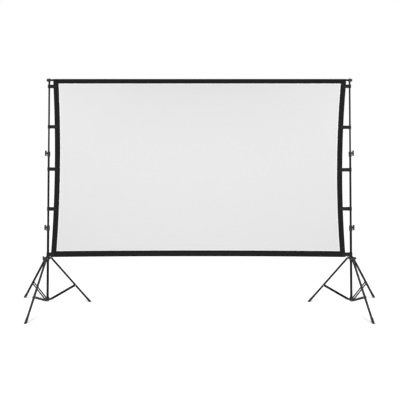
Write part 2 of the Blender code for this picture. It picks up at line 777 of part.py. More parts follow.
def shared_stand_meshes():
    """The pieces that both stands share."""
    top = BAR_HEIGHT - BAR_END_RADIUS - FIT - CAP_FLANGE
    low_of_upper = UPPER_JOINT_HEIGHT - TUBE_INSERT
    low_of_middle = LOWER_JOINT_HEIGHT - TUBE_INSERT
    tubes = {
        "upper_tube": (UPPER_TUBE_RADIUS, low_of_upper, top),
        "middle_tube": (MIDDLE_TUBE_RADIUS, low_of_middle, UPPER_JOINT_HEIGHT),
        "lower_tube": (LOWER_TUBE_RADIUS, TUBE_SEAT_HEIGHT, LOWER_JOINT_HEIGHT),
    }
    meshes = {}
    for name, (radius, low, high) in tubes.items():
        meshes[name] = shade(tube_mesh(name, radius, TUBE_WALL, low, high))
    others = {
        "upper_clamp": clamp_mesh("upper_clamp", MIDDLE_TUBE_RADIUS, UPPER_TUBE_RADIUS),
        "lower_clamp": clamp_mesh("lower_clamp", LOWER_TUBE_RADIUS, MIDDLE_TUBE_RADIUS),
        "upper_knob": knob_mesh("upper_knob", UPPER_TUBE_RADIUS, CLAMP_BOSS_REACH),
        "lower_knob": knob_mesh("lower_knob", MIDDLE_TUBE_RADIUS, CLAMP_BOSS_REACH),
        "crown_knob": knob_mesh("crown_knob", LOWER_TUBE_RADIUS, CROWN_BOSS_REACH),
        "mast_cap": mast_cap_mesh(),
        "crown": crown_mesh(),
        "hub": hub_mesh(),
        "leg": leg_mesh(),
        "foot": foot_mesh(),
        "brace": brace_mesh(),
    }
    return {**meshes, **others}


def build_mast(side, stand, meshes, finishes):
    """The three tubes with their clamps, knobs and top cap, about the mast's axis."""
    upright = Matrix.Identity(4)
    cap_height = BAR_HEIGHT - BAR_END_RADIUS - FIT - CAP_FLANGE
    out = facing(clamp_azimuth(side))
    for name in ("upper_tube", "middle_tube", "lower_tube"):
        place(f"{side}_{name}", meshes[name], finishes["tube"], stand, upright)
    place(f"{side}_mast_cap", meshes["mast_cap"], finishes["clamp"], stand, at(0, cap_height))
    for level, height in (("upper", UPPER_JOINT_HEIGHT), ("lower", LOWER_JOINT_HEIGHT)):
        seat = at(0, height) @ out
        place(f"{side}_{level}_clamp", meshes[level + "_clamp"], finishes["clamp"], stand, seat)
        screw = at(0, height + CLAMP_SCREW_HEIGHT) @ out
        place(f"{side}_{level}_knob", meshes[level + "_knob"], finishes["knob"], stand, screw)


def build_tripod(side, stand, meshes, finishes):
    """The crown, the base hub, and each leg with its foot and brace, turned to the leg's own direction."""
    first = facing(leg_azimuth(side, 0))
    place(f"{side}_crown", meshes["crown"], finishes["clamp"], stand, at(0, CROWN_HEIGHT) @ first)
    place(f"{side}_hub", meshes["hub"], finishes["clamp"], stand, at(0, HUB_HEIGHT) @ first)
    back = facing(leg_azimuth(side, 0) + math.pi)
    screw = at(0, CROWN_HEIGHT + CROWN_SCREW_HEIGHT) @ back @ Matrix.Rotation(CROWN_KNOB_TILT, 4, "X")
    place(f"{side}_crown_knob", meshes["crown_knob"], finishes["knob"], stand, screw)
    for index, name in enumerate(LEG_NAMES):
        turn = facing(leg_azimuth(side, index))
        down = Matrix.Rotation(math.pi / 2 - LEG_ANGLE, 4, "Y")
        leg_axes = turn @ at(PIVOT_RADIUS, CROWN_HEIGHT) @ down
        place(f"{side}_{name}_leg", meshes["leg"], finishes["channel"], stand, leg_axes)
        place(f"{side}_{name}_foot", meshes["foot"], finishes["rubber"], stand, leg_axes)
        up = Matrix.Rotation(BRACE_ANGLE - math.pi / 2, 4, "Y")
        brace_axes = turn @ at(PIVOT_RADIUS, HUB_HEIGHT) @ up
        place(f"{side}_{name}_brace", meshes["brace"], finishes["channel"], stand, brace_axes)


def build_straps(side, stand, finishes):
    for index, height in enumerate(strap_heights()):
        larger_tube = MIDDLE_TUBE_RADIUS if height > UPPER_JOINT_HEIGHT else LOWER_TUBE_RADIUS
        mesh = strap_mesh(side, height, larger_tube)
        place(f"{side}_strap_{index + 1}", mesh, finishes["strap"], stand, at(0, height))


def build_crossbar(origin, stands, finishes):
    for side, stand in stands.items():
        direction = -side_sign(side)
        seat = at(0, BAR_HEIGHT)
        place(f"{side}_crossbar_tube", outer_bar_mesh(direction), finishes["tube"], stand, seat)
        place(f"{side}_bar_end", bar_end_mesh(direction), finishes["clamp"], stand, seat)
    place("centre_crossbar_tube", centre_bar_mesh(), finishes["tube"], origin, at(0, BAR_HEIGHT))


def build_screen(origin, finishes):
    upright = Matrix.Identity(4)
    place("screen_panel", panel_mesh(), finishes["panel"], origin, upright)
    place("top_hem", hem_mesh(), finishes["border"], origin, upright)
    place("bottom_border", bottom_border_mesh(), finishes["border"], origin, upright)
    for side in BORDER_GAPS:
        place(f"{side}_border", side_border_mesh(side), finishes["border"], origin, upright)


def footprint_middle():
    """The middle of the stands' reach in Y, from the feet of the left stand."""
    bpy.context.view_layer.update()
    depths = []
    for name in LEG_NAMES:
        foot = bpy.data.objects[f"left_{name}_foot"]
        depths += [(foot.matrix_world @ vertex.co).y for vertex in foot.data.vertices]
    return (min(depths) + max(depths)) / 2


def main():
    clear_scene()
    finishes = make_finishes()
    origin = empty("screen_origin", None, (0, 0, 0))
    stands = {side: empty(f"{side}_stand", origin, (side_sign(side) * MAST_X, 0, 0)) for side in BORDER_GAPS}
    meshes = shared_stand_meshes()
    for side, stand in stands.items():
        build_mast(side, stand, meshes, finishes)
        build_tripod(side, stand, meshes, finishes)
        build_straps(side, stand, finishes)
    build_crossbar(origin, stands, finishes)
    build_screen(origin, finishes)
    origin.location.y = -footprint_middle()


main()
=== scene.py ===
"""Looks of the free-standing projector screen: cloth, webbing, fasteners, materials, light and camera."""

import json
import math

import bmesh
import bpy
import numpy as np
from mathutils import Matrix, Vector


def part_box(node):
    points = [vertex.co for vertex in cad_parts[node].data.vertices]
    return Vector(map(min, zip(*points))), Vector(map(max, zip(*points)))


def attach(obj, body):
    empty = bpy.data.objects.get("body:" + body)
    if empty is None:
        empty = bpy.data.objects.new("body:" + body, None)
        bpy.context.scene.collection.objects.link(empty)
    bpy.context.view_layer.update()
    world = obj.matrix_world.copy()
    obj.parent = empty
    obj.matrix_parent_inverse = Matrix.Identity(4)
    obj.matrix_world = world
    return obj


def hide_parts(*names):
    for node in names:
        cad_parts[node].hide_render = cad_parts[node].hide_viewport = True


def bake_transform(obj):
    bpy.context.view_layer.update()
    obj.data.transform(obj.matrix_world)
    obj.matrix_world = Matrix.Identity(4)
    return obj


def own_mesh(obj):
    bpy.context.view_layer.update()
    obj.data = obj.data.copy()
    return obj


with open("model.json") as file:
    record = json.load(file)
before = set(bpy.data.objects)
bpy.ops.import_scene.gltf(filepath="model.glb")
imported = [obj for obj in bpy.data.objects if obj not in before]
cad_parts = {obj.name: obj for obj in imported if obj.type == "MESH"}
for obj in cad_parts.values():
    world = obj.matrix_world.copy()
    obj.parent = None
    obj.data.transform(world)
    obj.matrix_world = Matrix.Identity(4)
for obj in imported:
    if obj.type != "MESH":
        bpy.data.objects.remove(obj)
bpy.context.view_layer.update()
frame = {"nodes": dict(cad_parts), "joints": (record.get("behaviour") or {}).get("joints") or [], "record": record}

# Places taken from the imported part
NODES = frame["nodes"]
JOINTS = {joint["name"]: joint for joint in frame["joints"]}
MOUNTS = {mount["name"]: mount for mount in frame["record"]["mounts"]}
SIDES = {"left": -1, "right": 1}
LEGS = ("inner", "back", "front")
STRAPS = range(1, 6)


def middle(node):
    """The middle of a node's box."""
    low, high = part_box(node)
    return (low + high) / 2


MAST_X = middle("right_lower_tube").x
MAST_Y = middle("right_lower_tube").y
BAR_Z = middle("left_crossbar_tube").z
HEM_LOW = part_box("top_hem")[0].z
HEM_ENDS = (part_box("top_hem")[0].x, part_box("top_hem")[1].x)
CORNER_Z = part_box("bottom_border")[0].z

# The cloth's outline, in metres. The gaps to the masts are those at the hem, the waist and the corner.
# The eases put dark edges a little outside their solids, since thin dark lines look thinner in a render.
BORDER_GAPS = {"left": (0.039, 0.059, 0.028), "right": (0.0345, 0.074, 0.052)}
WAIST_SHARE = 0.584
BORDER_WIDTH = 0.0482
BOTTOM_HEIGHT = 0.0527
EDGE_EASE = 0.0013
HEM_EASE = 0.0020
BOTTOM_BOW = 0.0078
SEAM_LAP = 0.012
PAINTED_HALO_WIDTH = 0.0092  # how far the painted bright halo along the panel's edge shows
TUCK = 0.008  # how far a side border runs under the hem and the bottom border

# The cloth's layers. Depths are measured from the masts' axes towards the back.
PANEL_THICKNESS = 0.0006
BORDER_THICKNESS = 0.0012
HEM_THICKNESS = 0.0010
PANEL_DEPTH = 0.0004
BORDER_DEPTH = -0.0010
OVER_DEPTH = -0.0023
FOLD_EXTRA = 0.0003
FOLD_WIDTH = 0.010
EDGE_STITCH = 0.0040
STITCH_DIP = 0.00045
STITCH_DIP_WIDTH = 0.0009

# The cloth's unevenness: sizes in metres, waves in radians per metre
RELIEF = 0.0006
CALM_EDGE = 0.060
BROAD_WAVES = (7.3, 9.1)
BROAD_PHASES = (1.1, 0.4)
SLANTED_WAVES = (13.7, 11.9)
SLANTED_SHARE = 0.5
FINE_WAVES = (41.0, 17.0)
FINE_SHARE = 0.25
PUCKER = 0.0004
PUCKER_REACH = 0.008
SIDE_PUCKERS = 210.0
BOTTOM_PUCKERS = 190.0

# Steps of the cloth's meshes
PANEL_ROWS = 70
PANEL_COLUMNS = 55
PANEL_STEP = 0.010
MASK_STEP = 0.0002
OUTLINE_ROUNDS = 3  # how often a point's place across and its height are worked out in turn
BORDER_ROWS = 90
BOTTOM_COLUMNS = 220
HEM_COLUMNS = 300
# Distances from a hemmed strip's edges
STRIP_STEPS = [0, 0.0006, 0.0014, 0.0024, 0.0033, 0.0040, 0.0047, 0.0056, 0.0070, 0.0090, 0.0102]

# The hem's sleeve in section, and its slack under the bar
BAR_RADIUS = 0.0095
SLEEVE_SLACK = 0.0011
SLEEVE_SEAM = 0.0175
SLEEVE_OPENING = 0.50
SLEEVE_STEPS = 26
SEAM_HALF = 0.0009
TAIL_FRONT = 0.0012
TAIL_BELOW_SEAM = 0.0006
TAIL_STEPS = 9
FRONT_LAYER = 0.0008
BACK_TAIL_SHARE = 0.7
BACK_TAIL_BELOW_SEAM = 0.0010
BACK_TAIL_FOOT = 0.002
BACK_TAIL_STEPS = 7
SLEEVE_SIDE_SHARES = (0, 0.33, 0.66)
SLACK_LEVEL = 0.0135
SLACK_SPREAD = 0.0045
SLACK_OUT_SHARE = 0.10
SLACK_DOWN = 0.0003
SLACK_WAVES = ((0.6, 61.0, 0.0), (0.4, 97.0, 1.3), (0.3, 23.0, 0.0))

# Straps. The slips put each where the photo has it, as a drop from its place in the part.
STRAP_WIDTH = 0.0315
STRAP_THICKNESS = 0.0015
STRAP_LAP = 0.030
STRAP_DROP = 0.0006
STRAP_SLIPS = {
    "left_strap_4": -0.0010,
    "left_strap_5": -0.0010,
    "right_strap_1": -0.0015,
    "right_strap_2": 0.0045,
    "right_strap_3": 0.0062,
    "right_strap_4": -0.0022,
    "right_strap_5": -0.0010,
}
STRAP_LOOPS = {1: 0.0122, 2: 0.0098, 3: 0.0108, 4: 0.0108, 5: 0.0122}
STRAP_FRONT = -0.0046
STRAP_BACK = 0.0019
LOOP_STEPS = 22
LAP_SHARES = (1.0, 0.85, 0.5, 0.15)
LAP_REST = 0.0006
LAP_REST_SHARE = 0.3
LEAD_IN_SHARES = (0.05, 0.35, 0.7)
LEAD_OUT_SHARES = (0.3, 0.65, 0.95)
ACROSS_SHARES = np.array([0, 0.035, 0.085, 0.25, 0.5, 0.75, 0.915, 0.965, 1])
THICKNESS_SHARES = np.array([0.55, 0.85, 1, 1, 1, 1, 1, 0.85, 0.55])

# The sewn square on each strap, and one stitch of it as (radius, height)
SQUARE_START = 0.004
SQUARE_END = 0.026
SQUARE_HALF = 0.011
STITCH_PITCH = 0.0037
STITCH = [(0, -0.0015), (0.00032, -0.0012), (0.00036, 0), (0.00032, 0.0012), (0, 0.0015)]
STITCH_SIDES = 6

# The height at which the cloth is split into an upper and a lower half
SPLIT = 1.290


# Mesh code

BEVEL_SEGMENTS = 2
BEVEL_PROFILE = 0.6
NEARLY_ALONG = 0.9
CREASE = math.radians(40)


def grid_faces(first, rows, columns):
    """Quads between neighbours of a grid of vertices numbered from first."""
    faces = []
    for r in range(rows - 1):
        for c in range(columns - 1):
            here = first + r * columns + c
            faces.append((here, here + 1, here + columns + 1, here + columns))
    return faces


def cloth(points, thickness, across, along):
    """A closed sheet about a grid of points: vertices, faces and UVs, which are (across, along) in metres."""
    p = np.asarray(points, float)
    rows, columns = p.shape[:2]
    t = np.broadcast_to(thickness, (rows, columns))[..., None]
    normal = np.cross(np.gradient(p, axis=1), np.gradient(p, axis=0))
    normal /= np.linalg.norm(normal, axis=2, keepdims=True)
    front, back = p + normal * t / 2, p - normal * t / 2
    loop = [(0, c) for c in range(columns)] + [(r, columns - 1) for r in range(1, rows)]
    loop += [(rows - 1, c) for c in range(columns - 2, -1, -1)] + [(r, 0) for r in range(rows - 2, 0, -1)]
    rim = []
    for r, c in loop:
        out = np.zeros(3)
        if c in (0, columns - 1):
            out += p[r, c] - p[r, 1 if c == 0 else columns - 2]
        if r in (0, rows - 1):
            step = p[r, c] - p[1 if r == 0 else rows - 2, c]
            out = out / (np.linalg.norm(out) or 1) + step / np.linalg.norm(step)
        rim.append(p[r, c] + out / np.linalg.norm(out) * t[r, c] / 2)
    count = rows * columns
    verts = np.concatenate([front.reshape(-1, 3), back.reshape(-1, 3), np.array(rim)])
    faces = grid_faces(0, rows, columns) + [face[::-1] for face in grid_faces(count, rows, columns)]
    for k, (r, c) in enumerate(loop):
        n = (k + 1) % len(loop)
        here, there = r * columns + c, loop[n][0] * columns + loop[n][1]
        faces.append((here, there, 2 * count + n, 2 * count + k))
        faces.append((count + there, count + here, 2 * count + k, 2 * count + n))
    uv = np.stack(np.broadcast_arrays(across, along), axis=2).reshape(-1, 2)
    uvs = np.concatenate([uv, uv, [uv[r * columns + c] for r, c in loop]])
    return verts, faces, uvs


def turned(profile, sides, matrix):
    """A closed solid of revolution from (radius, height) points that start and end on the Z axis."""
    ring = [(math.cos(math.tau * k / sides), math.sin(math.tau * k / sides)) for k in range(sides)]
    verts = [(0, 0, profile[0][1])]
    for radius, height in profile[1:-1]:
        verts += [(radius * c, radius * s, height) for c, s in ring]
    verts.append((0, 0, profile[-1][1]))
    last, faces = len(verts) - 1, []
    for k in range(sides):
        n = (k + 1) % sides
        faces.append((0, 1 + n, 1 + k))
        for level in range(len(profile) - 3):
            a, b = 1 + level * sides, 1 + (level + 1) * sides
            faces.append((a + k, a + n, b + n, b + k))
        top = 1 + (len(profile) - 3) * sides
        faces.append((last, top + k, top + n))
    return transformed(verts, matrix), faces, None


def swept_ring(path, profile, frames):
    """A closed profile of (out, up) points carried round a closed path, with its out and up in frames."""
    verts = [p + out * a + up * b for p, (out, up) in zip(path, frames) for a, b in profile]
    n, m, faces = len(path), len(profile), []
    for i in range(n):
        for j in range(m):
            k, q = (i + 1) % n, (j + 1) % m
            faces.append((i * m + j, k * m + j, k * m + q, i * m + q))
    return np.array(verts), faces, None


def bar(size, bevel, matrix):
    """A small block with bevelled edges, centred on the origin."""
    shape = bmesh.new()
    bmesh.ops.create_cube(shape, size=1.0)
    bmesh.ops.scale(shape, vec=size, verts=shape.verts)
    edges = shape.edges[:]
    bmesh.ops.bevel(
        shape, geom=edges, offset=bevel, segments=BEVEL_SEGMENTS, profile=BEVEL_PROFILE, affect="EDGES"
    )
    shape.verts.index_update()
    verts = [tuple(v.co) for v in shape.verts]
    faces = [tuple(v.index for v in f.verts) for f in shape.faces]
    shape.free()
    return transformed(verts, matrix), faces, None


def transformed(verts, matrix):
    m = np.array(matrix)
    return np.asarray(verts, float) @ m[:3, :3].T + m[:3, 3]


def frame_at(place, axis, towards=None):
    """Axes at a place with Z along axis and X as near to towards as can be."""
    z = Vector(axis).normalized()
    x = Vector(towards or ((1, 0, 0) if abs(z.x) < NEARLY_ALONG else (0, 1, 0)))
    x = (x - z * x.dot(z)).normalized()
    m = Matrix((x, z.cross(x), z)).transposed().to_4x4()
    m.translation = Vector(place)
    return m


def between(start, end, shares):
    """Points on the straight line from start to end, at shares of its length."""
    return [tuple(a + (b - a) * share for a, b in zip(start, end)) for share in shares]


def piece(name, parts, materials):
    """One object from parts of (vertices, faces, UVs), each with the number of its material."""
    mesh = bpy.data.meshes.new(name)
    verts, faces, uvs, slots = [], [], [], []
    for (v, f, uv), index in parts:
        base = len(verts)
        verts += [tuple(x) for x in v]
        faces += [tuple(base + i for i in face) for face in f]
        uvs += [(0.0, 0.0)] * len(v) if uv is None else [tuple(x) for x in uv]
        slots += [index] * len(f)
    mesh.from_pydata(verts, [], faces)
    layer = mesh.uv_layers.new(name="UVMap")
    corners = np.zeros(len(mesh.loops), np.int32)
    mesh.loops.foreach_get("vertex_index", corners)
    layer.data.foreach_set("uv", np.array(uvs, np.float32)[corners].ravel())
    mesh.polygons.foreach_set("material_index", slots)
    for material in materials:
        mesh.materials.append(material)
    shape = bmesh.new()
    shape.from_mesh(mesh)
    bmesh.ops.recalc_face_normals(shape, faces=shape.faces)
    shape.to_mesh(mesh)
    shape.free()
    mesh.shade_smooth()
    mesh.set_sharp_from_angle(angle=CREASE)
    mesh.update()
    made = bpy.data.objects.new(name, mesh)
    bpy.context.scene.collection.objects.link(made)
    return made


# Shader groups

# Noises, with scales per metre
SLUBS = {"scale": 60.0, "detail": 3.0, "roughness": 0.6}
WEBBING_FUZZ = {"scale": 700.0}
WORN_PATCHES = {"scale": 55.0, "detail": 4.0, "roughness": 0.65}
COAT_CLOUDS = {"scale": 14.0, "detail": 3.0}
COAT_SHEEN = {"scale": 30.0, "detail": 4.0}
ORANGE_PEEL = {"scale": 900.0, "detail": 1.5}
SCUFFS = {"scale": 120.0, "detail": 5.0, "roughness": 0.7}
# Patches of the dust and painted highlight on faces that look up
DUST_AND_SHEEN_PATCHES = {"scale": 25.0, "detail": 5.0, "roughness": 0.65}
GRAIN_DETAIL = 1.0

# Ranges that a value is remapped from and to
THREAD_EDGE = (0.35, 0.65, 1.0, 0.0)
DASH_END = (0.72, 0.9, 1.0, 0.0)
STITCH_CHANNEL = (0.4, 1.6, 1.0, 0.0)
ROUNDED_EDGE = (0.03, 0.25, 0.0, 1.0)
PATCHES_SHOWN = (0.5, 0.72, 0.0, 1.0)
SCUFFS_SHOWN = (0.55, 0.75, 0.0, 1.0)
FACES_UP = (0.3, 0.8, 0.0, 1.0)

# Pairs of a factor and what is then added
THREAD_OVER = (0.5, 0.5)
RIB_RELIEF = (0.7, 0.3)
WEBBING_TONE = (0.35, 0.8)
COAT_TONE = (0.3, 0.85)
COAT_GLOSS = (0.24, -0.12)
SCUFF_TONE = (0.5, 0.9)
# The spread of the dust and painted highlight on faces that look up
DUST_AND_SHEEN_SPREAD = (1.0, 0.4)

HALF = 0.5
WEAVE_MIDDLE = 0.6
THREAD_HEIGHT = 1.6
FUZZ_SHARE = 0.3
SCUFF_GLOSS = 0.12
BEVEL_SAMPLES = 4


def link(tree, socket, value):
    if isinstance(value, bpy.types.NodeSocket):
        tree.links.new(value, socket)
    else:
        socket.default_value = value


def calc(tree, operation, *values):
    node = tree.nodes.new("ShaderNodeMath")
    node.operation = operation
    for socket, value in zip(node.inputs, values):
        link(tree, socket, value)
    return node.outputs[0]


def remap(tree, value, low, high, new_low, new_high):
    node = tree.nodes.new("ShaderNodeMapRange")
    node.interpolation_type = "SMOOTHSTEP"
    link(tree, node.inputs["Value"], value)
    link(tree, node.inputs["From Min"], low)
    link(tree, node.inputs["From Max"], high)
    link(tree, node.inputs["To Min"], new_low)
    link(tree, node.inputs["To Max"], new_high)
    return node.outputs[0]


def noise(tree, vector, scale, detail=2.0, roughness=0.5):
    node = tree.nodes.new("ShaderNodeTexNoise")
    link(tree, node.inputs["Vector"], vector)
    link(tree, node.inputs["Scale"], scale)
    node.inputs["Detail"].default_value = detail
    node.inputs["Roughness"].default_value = roughness
    return node.outputs["Fac"]


def blend_colours(tree, share, first, second):
    node = tree.nodes.new("ShaderNodeMix")
    node.data_type = "RGBA"
    link(tree, node.inputs["Factor"], share)
    link(tree, node.inputs["A"], first)
    link(tree, node.inputs["B"], second)
    return node.outputs["Result"]


def split_vector(tree, vector):
    node = tree.nodes.new("ShaderNodeSeparateXYZ")
    link(tree, node.inputs[0], vector)
    return node.outputs


def arches(tree, value):
    """One arch from 0 to 1 and back over each whole step of the value."""
    return calc(tree, "ABSOLUTE", calc(tree, "SINE", calc(tree, "MULTIPLY", value, math.pi)))


def group(name, inputs, outputs):
    """An empty node group with named inputs as (name, kind, value) and outputs as (name, kind)."""
    tree = bpy.data.node_groups.new(name, "ShaderNodeTree")
    kinds = {"float": "NodeSocketFloat", "vector": "NodeSocketVector"}
    for label, kind, value in inputs:
        socket = tree.interface.new_socket(name=label, in_out="INPUT", socket_type=kinds[kind])
        if value is not None:
            socket.default_value = value
    for label, kind in outputs:
        tree.interface.new_socket(name=label, in_out="OUTPUT", socket_type=kinds[kind])
    return tree, tree.nodes.new("NodeGroupInput").outputs, tree.nodes.new("NodeGroupOutput").inputs


def woven_cloth():
    """Plain weave: threads that pass over and under each other, with slow changes of tone."""
    tree, given, result = group(
        "Woven cloth",
        [("Vector", "vector", None), ("Thread", "float", 0.001), ("Tone Spread", "float", 0.1)],
        [("Tone", "float"), ("Height", "float")],
    )
    split = split_vector(tree, given["Vector"])
    u = calc(tree, "DIVIDE", split["X"], given["Thread"])
    v = calc(tree, "DIVIDE", split["Y"], given["Thread"])
    warp, weft = arches(tree, u), arches(tree, v)
    crossing = calc(tree, "ADD", calc(tree, "FLOOR", u), calc(tree, "FLOOR", v))
    warp_up = calc(tree, "FLOORED_MODULO", crossing, 2.0)
    weft_up = calc(tree, "SUBTRACT", 1.0, warp_up)
    warp_over = calc(tree, "MULTIPLY", warp, calc(tree, "MULTIPLY_ADD", weft, *THREAD_OVER))
    weft_over = calc(tree, "MULTIPLY", weft, calc(tree, "MULTIPLY_ADD", warp, *THREAD_OVER))
    warp_height = calc(tree, "MULTIPLY", warp_over, warp_up)
    weft_height = calc(tree, "MULTIPLY", weft_over, weft_up)
    height = calc(tree, "ADD", warp_height, weft_height)
    slub = noise(tree, given["Vector"], **SLUBS)
    spread = calc(tree, "MULTIPLY", calc(tree, "SUBTRACT", slub, HALF), given["Tone Spread"])
    depth = calc(tree, "MULTIPLY", calc(tree, "SUBTRACT", height, WEAVE_MIDDLE), given["Tone Spread"])
    link(tree, result["Tone"], calc(tree, "ADD", 1.0, calc(tree, "ADD", spread, depth)))
    link(tree, result["Height"], height)
    return tree


def stitched_rows():
    """Two rows of thread, dashed along the seam, at given distances from the cloth's edge."""
    tree, given, result = group(
        "Stitched rows",
        [
            ("Vector", "vector", None),
            ("First Row", "float", 0.004),
            ("Second Row", "float", 0.04),
            ("Thread Width", "float", 0.0009),
            ("Stitch Length", "float", 0.0034),
        ],
        [("Mask", "float"), ("Height", "float")],
    )
    split = split_vector(tree, given["Vector"])
    first = calc(tree, "ABSOLUTE", calc(tree, "SUBTRACT", split["X"], given["First Row"]))
    second = calc(tree, "ABSOLUTE", calc(tree, "SUBTRACT", split["X"], given["Second Row"]))
    across = calc(tree, "DIVIDE", calc(tree, "MINIMUM", first, second), given["Thread Width"])
    along = calc(tree, "FRACT", calc(tree, "DIVIDE", split["Y"], given["Stitch Length"]))
    dash = calc(tree, "MULTIPLY", calc(tree, "ABSOLUTE", calc(tree, "SUBTRACT", along, HALF)), 2.0)
    thread = calc(tree, "MULTIPLY", remap(tree, across, *THREAD_EDGE), remap(tree, dash, *DASH_END))
    channel = remap(tree, across, *STITCH_CHANNEL)
    raised = calc(tree, "MULTIPLY", thread, THREAD_HEIGHT)
    link(tree, result["Mask"], thread)
    link(tree, result["Height"], calc(tree, "SUBTRACT", raised, channel))
    return tree


def elastic_webbing():
    """Fine cords along the band and the ribs that cross them."""
    tree, given, result = group(
        "Elastic webbing",
        [("Vector", "vector", None), ("Cord", "float", 0.0018), ("Rib", "float", 0.0012)],
        [("Tone", "float"), ("Height", "float")],
    )
    split = split_vector(tree, given["Vector"])
    u = calc(tree, "DIVIDE", split["X"], given["Cord"])
    every_other = calc(tree, "FLOORED_MODULO", calc(tree, "FLOOR", u), 2.0)
    offset = calc(tree, "MULTIPLY", every_other, HALF)
    v = calc(tree, "ADD", calc(tree, "DIVIDE", split["Y"], given["Rib"]), offset)
    cord, rib = arches(tree, u), arches(tree, v)
    height = calc(tree, "MULTIPLY", calc(tree, "SQRT", cord), calc(tree, "MULTIPLY_ADD", rib, *RIB_RELIEF))
    fuzz = calc(tree, "SUBTRACT", noise(tree, given["Vector"], **WEBBING_FUZZ), HALF)
    fuzz = calc(tree, "MULTIPLY", fuzz, FUZZ_SHARE)
    link(tree, result["Tone"], calc(tree, "ADD", calc(tree, "MULTIPLY_ADD", height, *WEBBING_TONE), fuzz))
    link(tree, result["Height"], height)
    return tree


def powder_coat():
    """Orange peel, uneven gloss, and edges where the coat has worn thin."""
    tree, given, result = group(
        "Powder coat",
        [("Vector", "vector", None), ("Edge Radius", "float", 0.0012), ("Wear", "float", 0.5)],
        [("Tone", "float"), ("Gloss", "float"), ("Edge", "float"), ("Height", "float")],
    )
    rounded = tree.nodes.new("ShaderNodeBevel")
    rounded.samples = BEVEL_SAMPLES
    link(tree, rounded.inputs["Radius"], given["Edge Radius"])
    surface = tree.nodes.new("ShaderNodeNewGeometry")
    facing = tree.nodes.new("ShaderNodeVectorMath")
    facing.operation = "DOT_PRODUCT"
    link(tree, facing.inputs[0], rounded.outputs["Normal"])
    link(tree, facing.inputs[1], surface.outputs["Normal"])
    edge = remap(tree, calc(tree, "SUBTRACT", 1.0, facing.outputs["Value"]), *ROUNDED_EDGE)
    patches = remap(tree, noise(tree, given["Vector"], **WORN_PATCHES), *PATCHES_SHOWN)
    clouds = noise(tree, given["Vector"], **COAT_CLOUDS)
    sheen = noise(tree, given["Vector"], **COAT_SHEEN)
    link(tree, result["Edge"], calc(tree, "MULTIPLY", calc(tree, "MULTIPLY", edge, patches), given["Wear"]))
    link(tree, result["Tone"], calc(tree, "MULTIPLY_ADD", clouds, *COAT_TONE))
    link(tree, result["Gloss"], calc(tree, "MULTIPLY_ADD", sheen, *COAT_GLOSS))
    link(tree, result["Height"], noise(tree, given["Vector"], **ORANGE_PEEL))
    return tree


def moulded_grain():
    """The spark-eroded grain of a moulded part, and the scuffs of handling."""
    tree, given, result = group(
        "Moulded grain",
        [("Vector", "vector", None), ("Grain", "float", 1500.0), ("Scuff", "float", 0.5)],
        [("Tone", "float"), ("Gloss", "float"), ("Height", "float")],
    )
    scuffs = remap(tree, noise(tree, given["Vector"], **SCUFFS), *SCUFFS_SHOWN)
    worn = calc(tree, "MULTIPLY", scuffs, given["Scuff"])
    link(tree, result["Tone"], calc(tree, "MULTIPLY_ADD", worn, *SCUFF_TONE))
    link(tree, result["Gloss"], calc(tree, "MULTIPLY", worn, SCUFF_GLOSS))
    link(tree, result["Height"], noise(tree, given["Vector"], given["Grain"], GRAIN_DETAIL))
    return tree


def dust_and_painted_sheen():
    """A grey film on faces that look up, broken up by handling: settled dust that also stands for a painted
    highlight of the light from above.
    """
    tree, given, result = group(
        "Dust and painted sheen",
        [("Vector", "vector", None), ("Normal", "vector", None), ("Amount", "float", 1.0)],
        [("Mask", "float")],
    )
    facing_up = remap(tree, split_vector(tree, given["Normal"])["Z"], *FACES_UP)
    patches = calc(tree, "MULTIPLY_ADD", noise(tree, given["Vector"], **DUST_AND_SHEEN_PATCHES), *DUST_AND_SHEEN_SPREAD)
    dust_sheen_film = calc(tree, "MULTIPLY", facing_up, patches)
    link(tree, result["Mask"], calc(tree, "MULTIPLY", dust_sheen_film, given["Amount"]))
    return tree


# Materials, with colours in linear light, lengths in metres and bumps as (strength, distance)

BLACK_CLOTH = {"colour": (0.012, 0.012, 0.0125), "thread": 0.0010, "spread": 0.35, "sheen": 0.02}
CLOTH_ROUGHNESS = 0.85
CLOTH_SPECULAR = 0.12
CLOTH_BUMP = (0.35, 0.0003)
SHEEN_ROUGHNESS = 0.5
SEWN_RELIEF = 1.5
THREAD_GAIN = 1.8
THREAD_LIFT = 0.01
HEM_ROWS = (0.0040, 0.0100)

PANEL_COLOUR = (0.80, 0.80, 0.802)
# A painted bright halo along the panel's edge, whiter than the cloth
PAINTED_HALO_COLOUR = (0.98, 0.98, 0.98, 1.0)
PANEL_WEAVE = {"Thread": 0.0008, "Tone_Spread": 0.02}
PANEL_ROUGHNESS = 0.9
PANEL_SPECULAR = 0.1
PANEL_BUMP = (0.2, 0.00015)

WEBBING_COLOUR = (0.017, 0.017, 0.0178)
WEBBING_ROUGHNESS = 0.8
WEBBING_SPECULAR = 0.15
WEBBING_SHEEN = 0.05
WEBBING_BUMP = (0.6, 0.0004)

THREAD_COLOUR = (0.045, 0.045, 0.047)
THREAD_ROUGHNESS = 0.6
THREAD_SPECULAR = 0.3
THREAD_TWIST = {"Grain": 2500.0, "Scuff": 0.2}
THREAD_BUMP = (0.3, 0.0002)

TUBE_COLOUR = (0.013, 0.013, 0.0135)
# The last amount is the dust and painted highlight on faces that look up
TUBE_COAT = {"colour": TUBE_COLOUR, "roughness": 0.5, "specular": 0.07, "wear": 0.5, "dust_and_sheen": 0.1}
CHANNEL_COLOUR = (0.006, 0.006, 0.0065)
CHANNEL_COAT = {"colour": CHANNEL_COLOUR, "roughness": 0.42, "specular": 0.12, "wear": 0.8, "dust_and_sheen": 0.22}
WORN_COAT_COLOUR = (0.16, 0.16, 0.165, 1.0)
# Dust on faces that look up, which also serves as a painted highlight of the light from above
DUST_AND_SHEEN_COLOUR = (0.20, 0.195, 0.19, 1.0)
COAT_BUMP = (0.12, 0.0002)

